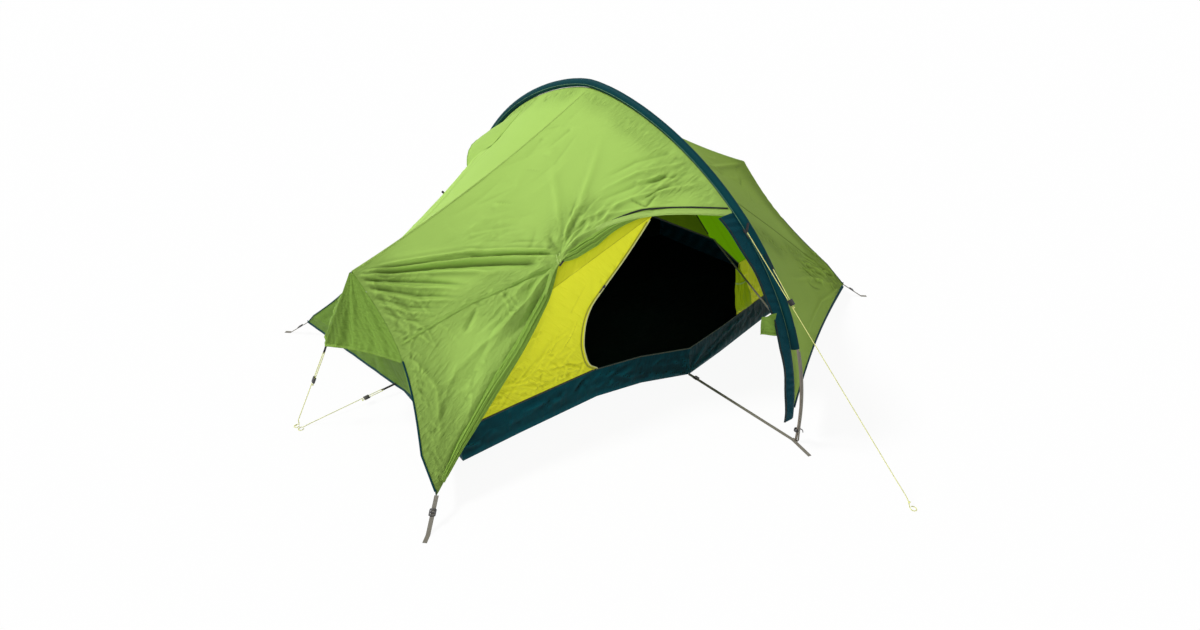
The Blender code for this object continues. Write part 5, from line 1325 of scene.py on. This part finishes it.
def inner_wall(name, end, door_x, rows, columns, seed):
    """A front wall from the door's edge round the end of the inner tent."""
    up = np.linspace(0, 1, rows)[:, None]
    t = np.linspace(0, 1, columns)[None, :]
    reach = end * (FLOOR_HALF_LENGTH - TUB_LEAN)
    front = wall(mix(door_x(up), reach, t), up + 0 * t, -1)
    y = mix(-1, 1, np.linspace(0, 1, 60)[1:])[None, :]
    peak = ridge(np.array([end * FLOOR_HALF_LENGTH]))[0]
    low = np.stack([reach + 0 * y, y * (FLOOR_HALF_WIDTH - TUB_LEAN), 0 * y + TUB_HEIGHT + .001], -1)
    high = np.stack([reach + 0 * y, np.abs(y) * np.where(y < 0, -1, 1) * .380,
                     mix(peak[2], .265, np.abs(y)) - .001], -1)
    points = np.concatenate([front, mix(low, high, up[..., None])], 1)
    normal = outward(points)
    xs, levels = np.linspace(.47, .97, 7) * end, np.linspace(.05, .95, 9)
    folds = []
    for k, (line, *more) in enumerate((
            (wall(xs, .10, -1), .05, 120, .14, .0060, .0068, .30, (end * -.42, -.60, .10)),
            (wall(xs, .45, -1), .10, 90, .24, .0052, .0085, .14, (DOOR_PEAK_X, -.6, .75)),
            (wall(xs, .02, -1), .015, 60, .05, .0030, .0050, .5),
            (wall(door_x(levels), levels, -1), .012, 60, .05, .0028, .0050, .6))):
        folds += crinkles(seed + k, line, *more)
    height = fold_height(points, normal, folds) * np.clip(up * 12, 0, 1) * np.clip((1 - up) * 12, 0, 1)
    height[:, :columns] *= np.clip(t * 14, 0, 1)
    # Painted shade on the lower part of the wall, where the crease level is also raised.
    cloth(name + "_cloth", points + normal * height[..., None], YELLOW, INNER_MESH_SHADE, [name],
          crease_and_shade=np.clip(.75 - .4 * up, .3, .9), shaded=.26 * np.clip(1 - up / .5, 0, 1))


def inner_roof():
    """The roof and rear wall of the inner tent."""
    station = np.linspace(-1, 1, 161)
    x = station * (FLOOR_HALF_LENGTH - TUB_LEAN - 0.001)
    front, top, rear, foot = shoulder(x, -1), ridge(x), shoulder(x, 1), tub_top(x, 1) + Z_AXIS * .001
    swell = (0.045 * (1 - np.abs(station)))[:, None]
    lines = np.stack([front, mix(front, top, .33) + np.array([0, -.5, .87]) * swell,
                      mix(front, top, .67) + np.array([0, -.3, .95]) * swell, top,
                      mix(rear, top, .67) + np.array([0, .3, .95]) * swell,
                      mix(rear, top, .33) + np.array([0, .5, .87]) * swell, rear, mix(rear, foot, .5), foot], 1)
    where = [0, .33, .67, 1, 1.33, 1.67, 2, 2.5, 3]
    points = np.stack([read(through, where, row, np.linspace(0, 3, 130)) for row in lines])
    normal = outward(points)
    xs = np.linspace(-.9, .9, 9)
    folds = crinkles(71, wall(xs, .3, 1), .08, 90, .16, .0035, .0080, .3, toward=(0, .8, .1))
    folds += crinkles(72, ridge(xs), .10, 60, .20, .0030, .0100, .3)
    height = fold_height(points, normal, folds) * np.clip((1 - np.abs(station)) * 10, 0, 1)[:, None]
    tape_x = BAND_X - .014
    column = int(np.argmin(np.abs(x - tape_x)))
    strap("inner_roof_tape", (points + normal * (height + .0012)[..., None])[column, 1:40], X_AXIS, .006, .0014, BLACK,
          slot="black_webbing")
    roof = cloth("inner_roof_cloth", points + normal * height[..., None], ROOF_SHADE_OLIVE, INNER_MESH_SHADE, ["inner_roof"],
                 crease_and_shade=.5).data
    # The outer face is olive painted shade in the middle, painted fly light right of the tape and plain yellow left of
    # the door's peak; the inner face is near-black painted shade.
    for material in (ROOF_LIT_GREEN, YELLOW):
        roof.materials.append(material)
    count = len(roof.polygons)
    marks, middles = np.zeros(count, np.int32), np.zeros(count * 3, np.float32)
    roof.polygons.foreach_get("material_index", marks)
    roof.polygons.foreach_get("center", middles)
    outside, along = marks == 0, middles[0::3]
    marks[(along > tape_x) & outside] = 2
    marks[(along < DOOR_PEAK_X) & outside] = 3
    roof.polygons.foreach_set("material_index", marks)


def tub_side(points, normals, seed, start):
    """Wrinkles along a side of the tub: fanned out from the strap and short ones along its lower edge."""
    folds = []
    for j in range(16):
        far = start + np.array([(j - 7.5) * .085, -start[1] * .02, .03 + .09 * ((j * 7) % 5) / 4])
        folds.append(dict(line=np.array([start, mix(start, far, .5), far]), height=.0085 * (1 if j % 2 else -.7),
                          width=.0075, fade=(.05, .5), grow=1.9))
    line = points[len(points) // 2]
    folds += crinkles(seed, line[::max(1, len(line) // 12)], .035, 130, .13, .0055, .0068, .30)
    return fold_height(points, normals, folds)


def inner_tub():
    """The tray floor with its raised sides, drawn out to a point by the floor straps."""
    x = np.sort(np.concatenate([np.linspace(-FLOOR_HALF_LENGTH, FLOOR_HALF_LENGTH, 239), TUB_STATIONS[1:-1]]))
    half = floor_y(x)

    def row(y, level=0.0):
        return np.stack([x, y, 0 * x + CLOTH + (TUB_HEIGHT - CLOTH) * level], -1)

    levels = np.linspace(1, 0, 15)
    points = np.stack([row(-(half - TUB_LEAN * k), k) for k in levels]
                      + [row(half * share) for share in np.linspace(-.97, .97, 24)]
                      + [row(half - TUB_LEAN * k, k) for k in levels[::-1]], 1)
    normal = outward(points)
    across = np.arange(points.shape[1])
    front, rear = across < 14, across >= len(across) - 14
    for pick, seed, y in ((front, 81, -1), (rear, 82, 1)):
        part, turned = points[:, pick], normal[:, pick]
        height = tub_side(part.transpose(1, 0, 2), turned.transpose(1, 0, 2), seed, np.array([0, y * .700, .012])).T
        fade = np.clip(np.minimum(part[..., 2] / .012, (TUB_HEIGHT - part[..., 2]) / .012), 0, 1)
        points[:, pick] = part + turned * (height * fade)[..., None]
    ground = ~(front | rear)
    ripple = .0025 * (1 + np.sin(points[..., 0] * 9 + 2 * np.sin(points[..., 1] * 7))) \
        * np.clip((FLOOR_HALF_WIDTH - np.abs(points[..., 1])) * 8, 0, 1)
    points[:, ground, 2] += ripple[:, ground]
    # Painted shade over the tub's right part, which lies in shade.
    cloth("inner_tub_tray", points, TUB_TEAL, TUB_INSIDE_SHADE, ["inner_tub"],
          crease_and_shade=np.where(ground, .35, .85)[None, :], shaded=(.95 * rise(x, -.45, -.05))[:, None])
    y, level = np.linspace(-1, 1, 90)[None, :], np.linspace(0, 1, 14)[:, None]
    wave = .0020 * np.sin(y * 37 + level * 5) * np.sin(math.pi * level)
    for end, name in ENDS:
        place = np.stack([end * (FLOOR_HALF_LENGTH - TUB_LEAN * level + wave),
                          y * (FLOOR_HALF_WIDTH - TUB_LEAN * level), CLOTH + (TUB_HEIGHT - CLOTH) * level + 0 * y], -1)
        cloth("inner_tub_end_" + name, place, TUB_TEAL, facing=np.array([end, 0, 0]),
              crease_and_shade=.7)


def inner_trims():
    """Tapes, piping and zips of the inner tent."""
    for side, name in SIDES:
        path = tub_top(np.linspace(-1.026, 1.026, 240), side) + np.array([0, side * .0012, -.003])
        strap(f"tub_seam_{name}", path, Z_AXIS + Y_AXIS * (side * .1), .006, .0014, TUB_SEAM, slot="teal_nylon")
    for end, name in ENDS:
        y = np.linspace(-.548, .548, 90)
        path = np.stack([0 * y + end * (FLOOR_HALF_LENGTH - TUB_LEAN + .0012), y, 0 * y + TUB_HEIGHT - .003], -1)
        strap(f"tub_seam_{name}", path, Z_AXIS, .011, .0016, TUB_SEAM, slot="teal_nylon")
    up = np.linspace(.0, .985, 130)
    x = through(DOOR_LEFT, up)
    tube("door_piping", off_wall(wall(x, up, -1), .0016) + X_AXIS * .0006, .0024, DOOR_PIPING, 8, slot="yellow_nylon")
    strap("inner_zip_tape", off_wall(wall(x - .0125, up, -1), .0016), X_AXIS, .009, .0010, ZIP_YELLOW,
          slot="yellow_nylon")
    up = np.linspace(.02, .97, 90)
    strap("inner_zip_tape_right", off_wall(wall(DOOR_RIGHT_X + .006 + 0 * up, up, -1), .0016), X_AXIS, .012, .0011,
          ZIP_YELLOW, slot="yellow_nylon")
    top = off_wall(shoulder(np.linspace(DOOR_PEAK_X + .004, DOOR_RIGHT_X, 120), -1), .001) - Z_AXIS * .003
    strap("inner_door_top_zip", top, Z_AXIS, .006, .0018, ZIP_BLACK, slot="black_webbing")
    for name, x in (("left", np.linspace(-1.02, DOOR_PEAK_X - .004, 120)),
                    ("right", np.linspace(DOOR_RIGHT_X + .004, 1.02, 90))):
        tube(f"inner_shoulder_seam_{name}", shoulder(x, -1) + np.array([0, -.0004, .0004]), .0009, INNER_SEAM, 8,
             slot="yellow_nylon")


def gathered_door():
    """The inner door gathered and hung at the right of its opening."""
    down = np.linspace(0, 1, 110)
    wide = through([(0, .012), (.25, .030), (.6, .052), (.9, .060), (1, .050)], down)
    deep = through([(0, .010), (.25, .016), (.6, .020), (.9, .018), (1, .010)], down)
    centre = wall(DOOR_RIGHT_X + 0 * down, mix(.93, .10, down), -1) - by(deep + 0.0011, Y_AXIS)
    centre[:, 0] = mix(DOOR_RIGHT_X - .020, DOOR_RIGHT_X + .030, down)
    turn = full_turn(140)
    low = down[:, None]
    swirl = turn + .35 * np.sin(low * 7)
    shape = 0.80 + 0.13 * np.cos(7 * swirl + 2 * low) + 0.07 * np.cos(13 * swirl + 3) \
        + .04 * np.cos(23 * swirl + 11 * low)
    size = np.minimum(shape, 1)
    rings = oval(centre[:, None], by(wide[:, None] * size, X_AXIS), -by(deep[:, None] * size, Y_AXIS), turn)
    swept("inner_door_gathered", rings, (lengths(centre), np.linspace(0, .3, 141)), DOOR_LIME,
          nodes=["inner_door_roll"], slot="yellow_nylon")
    tied = oval(centre[33], X_AXIS * wide[33] * .93, -Y_AXIS * deep[33] * .93, np.linspace(0, 2 * math.pi, 41))
    strap("inner_door_tie", tied, Z_AXIS, .008, .0012, LOOP_GREEN, slot="green_nylon")


# Straps, tabs and loops
def straps():
    """Webbing at the corners of the fly, at the floor and under the feet of the pole."""
    for end, side, name in ((-1, -1, "front_left"), (1, -1, "front_right"), (-1, 1, "rear_left"), (1, 1, "rear_right")):
        start = corner(end, side)
        peg = np.array([end * 1.303, side * 0.811, WEBBING / 2])
        out = unit(peg - start)
        flat = unit(out * np.array([1, 1, 0]))
        touch = peg - flat * 0.030
        path = np.concatenate([np.linspace(start + out * FIT, touch, 20), np.linspace(touch, peg, 8)[1:]])
        strap(f"corner_webbing_{name}", path, np.cross(flat, Z_AXIS), WEBBING_WIDTH, WEBBING, GREY,
              nodes=[f"corner_{name}_strap"], slot="grey_webbing")
    for side, name in SIDES:
        start, turn, last = np.array([(0, side * (float(floor_y(0.0)) + .0008), WEBBING / 2),
                                      (-0.004, side * (FOOT_Y - 0.010), WEBBING / 2),
                                      (-0.030, side * 1.345, WEBBING / 2)])
        path = np.concatenate([np.linspace(start, turn, 40), np.linspace(turn, last, 12)[1:]])
        strap(f"floor_webbing_{name}", path, X_AXIS, WEBBING_WIDTH, WEBBING, GREY, nodes=[f"floor_{name}_strap"],
              slot="grey_webbing")
        path, normal = arch_line(30, 1, 5)
        path = path + normal * (POLE_SEAT + POLE_RADIUS + FIT + WEBBING / 2)
        path[:, 1] *= -side
        seat, heel = WEBBING * 1.5 + FIT, FOOT_Y + POLE_RADIUS * 2
        foot = np.array([(0, side * (FOOT_Y - POLE_RADIUS * 3), seat), (0, side * heel, seat),
                         (0, side * (heel + WEBBING), seat + WEBBING * 3)])
        strap(f"foot_webbing_{name}", np.concatenate([foot, path[:-1]]), X_AXIS, 0.011, WEBBING, GREY,
              nodes=[f"foot_strap_{name}"], slot="grey_webbing")


def hanger_and_band():
    """The tape that hangs the inner tent's front peak, and the band down to the arch."""
    place = np.array([.14]), np.array([.40])
    low = shoulder(np.array([DOOR_PEAK_X]), -1)[0] + Z_AXIS * .0013
    high = door_base(*place)[0] - surface_normal(door_base, *place)[0] * (.0005 + FIT + .0032)
    strap("inner_hanger_tape", np.linspace(low, high, 30), X_AXIS, TAPE_WIDTH, WEBBING, BLACK, nodes=["inner_hanger"],
          slot="black_webbing")
    path, out = arch_line(49, 0, 48)
    low = path[6] - out[6] * (ARCH_SEAM_DROP + .0072)
    high = shoulder(np.array([BAND_X]), -1)[0] - Y_AXIS * .0016
    strap("tension_band_webbing", np.linspace(high, low, 60), X_AXIS, .009, WEBBING, FOOT_GREY,
          nodes=["tension_band"], slot="grey_webbing")


def tape_loop(name, start, along, length, across, gap=.0036, width=TAPE_WIDTH):
    """A sewn loop of tape standing off the cloth."""
    along, across = unit(along), unit(across)
    side = unit(np.cross(across, along)) * gap / 2
    end = start + along * (length - gap / 2)
    out = oval(end, along * gap / 2, side, np.linspace(-math.pi / 2, math.pi / 2, 15))
    path = np.concatenate([np.linspace(start - side, end - side, 9)[:-1], out,
                           np.linspace(end + side, start + side, 9)[1:]])
    strap(name + "_tape", path, across, width, WEBBING, TAB_BLACK, nodes=[name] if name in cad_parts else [],
          slot="black_webbing")


def tabs():
    """Tape loops that the guylines hang in, and the small loops on the rear of the fly."""
    for end, name in ENDS:
        tape_loop(f"tip_tab_{name}", *tip_tab(end), TIP_TAB_LENGTH, Y_AXIS)
        tape_loop(f"base_tab_{name}", *base_tab(end), BASE_TAB_LENGTH, Y_AXIS)
    for share, goal, name in ((.560, upper, "upper"), (.625, lower, "lower")):
        tangent, normal = arch_frame(share, -1, .002)
        start = arch(share, -1) + normal * (.01516 + .0033) - X_AXIS * .008
        tape_loop(f"sleeve_tab_{name}", start, goal - start, float(np.linalg.norm(goal - start)) + .0020, tangent)
    for surface, name in ((rear_left, "left"), (rear_right, "right")):
        u, share = np.array([.419]), np.array([.494])
        at, near = surface(u, share)[0], surface(u + .004, share)[0]
        out = surface_normal(surface, u, share)[0]
        tape_loop(f"fly_loop_{name}", at - out * .001, out, .013, near - at, .006, .009)


# Vent and small parts
def vent():
    """The stiff-rimmed scoop behind the sleeve, and the mesh it covers."""
    facing = np.array([-.3, .6, .5])
    down, across = np.linspace(0, 1, 50)[:, None], np.linspace(-1, 1, 70)[None, :]
    u, share = mix(.06, .25, (across + 1) / 2) + 0 * down, mix(.30, .50, down) + 0 * across
    normal = surface_normal(rear_left.base, u, share)
    lift = .048 * (1 - across ** 2) * down ** .7 + .0010 * np.sin(across * 19 + down * 7) * down * (1 - across ** 2)
    points = rear_left.base(u, share) + normal * (.0012 + lift)[..., None]
    rim = tube("vent_rim", points[-1] + normal[-1] * .0002, .0024, HEM_GREEN, 10, slot="green_nylon")
    cloth("vent_scoop", points, FLY_GREEN, FLY_INSIDE_GLOW, ["vent_hood"], facing=facing,
          crease_and_shade=.5)
    u, share = np.meshgrid(np.linspace(.085, .225, 30), np.linspace(.33, .485, 30))
    place = rear_left.base(u, share) + surface_normal(rear_left.base, u, share) * .0022
    cloth("vent_net", place, VENT_MESH, facing=facing,
          uv=np.stack([(u - .15) * 1.3, (share - .4) * 1.5], -1), declare=False)


def door_tie():
    """The doubled tape round the rolled door."""
    (a, centre, b), _ = roll_line(np.array([TIE_SHARE - .022, TIE_SHARE, TIE_SHARE + .022]))
    axis = unit(b - a)
    side = unit(np.cross(axis, Z_AXIS))
    turn = np.linspace(0, 2 * math.pi, 61)
    for k, off in enumerate((-.0055, .0045)):
        size = (.0133 + .0001 * np.cos(3 * turn + k))[:, None]
        path = oval(centre + axis * off, side * size, np.cross(side, axis) * size, turn)
        strap(f"door_tie_tape_{k}", path, axis, .0042, .0012, LOOP_GREEN,
              nodes=["door_tie_loop"] if k == 0 else [], slot="green_nylon")


def porch_side_flap():
    """The small flap of the fly that shows beside the foot of the zip flap."""
    top, foot = np.array([[(-.143, -1.127, .536), (-.012, -1.112, .505)],
                          [(-.139, -1.127, .468), (-.012, -1.152, .420)]])
    t, k = np.linspace(0, 1, 24)[:, None, None], np.linspace(0, 1, 24)[None, :, None]
    flat = mix(mix(*top, k), mix(*foot, k), t)
    points = flat + by(.004 * np.sin(flat[..., 0] * 90 + flat[..., 2] * 40) * (1 - k[..., 0]), Y_AXIS)
    hem = strap("porch_side_flap_hem", points[-2], Z_AXIS, .009, .0018, HOOD_HEM, slot="green_nylon")
    cloth("porch_side_flap", points, HOOD_SHADE_GREEN, FLY_INSIDE_GLOW, facing=np.array([0, -1, .2]),
          crease_and_shade=.6)


def foot_hooks():
    """The small hooks that join the floor's webbing to the foot of the pole."""
    for side, name in SIDES:
        route = np.array([(-.004, 1.2615, .052), (.006, 1.2640, .056), (.017, 1.2660, .050), (.026, 1.2675, .040),
                          (.031, 1.2680, .028)]) * np.array([1, side, 1])
        tube(f"foot_hook_{name}", even(route, 26, through), np.linspace(.0026, .0016, 26), PLASTIC,
             slot="dark_plastic")
        collar = oval(np.array([0, side * 1.2575, .050]), X_AXIS * .0085, Y_AXIS * .0095,
                      np.linspace(0, 2 * math.pi, 33))
        strap(f"foot_hook_collar_{name}", collar, Z_AXIS, .011, .0022, PLASTIC, slot="dark_plastic")


def eased(name, material, bevel, body):
    """A hard part: its own source shape, merged, with its edges eased."""
    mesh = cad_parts[name].data.copy()
    mesh.name = name + "_finished"
    mesh.transform(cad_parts[name].matrix_world)
    work = bmesh.new()
    work.from_mesh(mesh)
    bmesh.ops.remove_doubles(work, verts=work.verts, dist=1e-5)
    bmesh.ops.dissolve_limit(work, angle_limit=math.radians(2), verts=work.verts, edges=work.edges)
    bmesh.ops.recalc_face_normals(work, faces=work.faces)
    work.to_mesh(mesh)
    work.free()
    mesh.materials.clear()
    mesh.materials.append(material)
    thing = link(name + "_finished", mesh)
    more = thing.modifiers.new("eased_edges", "BEVEL")
    more.width, more.segments, more.limit_method, more.angle_limit = bevel, 2, "ANGLE", math.radians(40)
    bpy.context.view_layer.objects.active = thing
    thing.select_set(True)
    bpy.ops.object.modifier_apply(modifier=more.name)
    thing.select_set(False)
    smooth(thing.data, 35)
    fit(thing, body, [name])


def hard_parts():
    """Poles, struts, ladder-locks, sliders, runners and the toggle."""
    for name in [f"pole_section_{k}" for k in range(1, 9)] + ["end_strut_left", "end_strut_right"]:
        eased(name, METAL, .0002, "tent")
    for name in ("corner_front_left", "corner_front_right", "corner_rear_left", "corner_rear_right", "floor_front",
                 "floor_rear"):
        eased(name + "_buckle", PLASTIC, .0006, name + "_buckle")
    for name in ("front_guyline_runner", "end_guyline_runner", "base_guyline_runner", "zip_slider_outer",
                 "zip_slider_inner", "door_toggle"):
        eased(name, PLASTIC, .0004, name)


def finish():
    """Bring the scene up to date at the end."""
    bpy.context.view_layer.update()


flysheet()
arch_sleeve()
for end, name in ENDS:
    hood(end, name)
    end_wall(end, name)
door_roll()
zip_flap()
inner_wall("inner_wall_left", -1, lambda up: through(DOOR_LEFT, up), 120, 180, 51)
inner_wall("inner_wall_right", 1, lambda up: DOOR_RIGHT_X + 0 * up, 90, 110, 61)
inner_roof()
inner_tub()
inner_trims()
gathered_door()
straps()
hanger_and_band()
tabs()
vent()
door_tie()
porch_side_flap()
foot_hooks()
hard_parts()
finish()
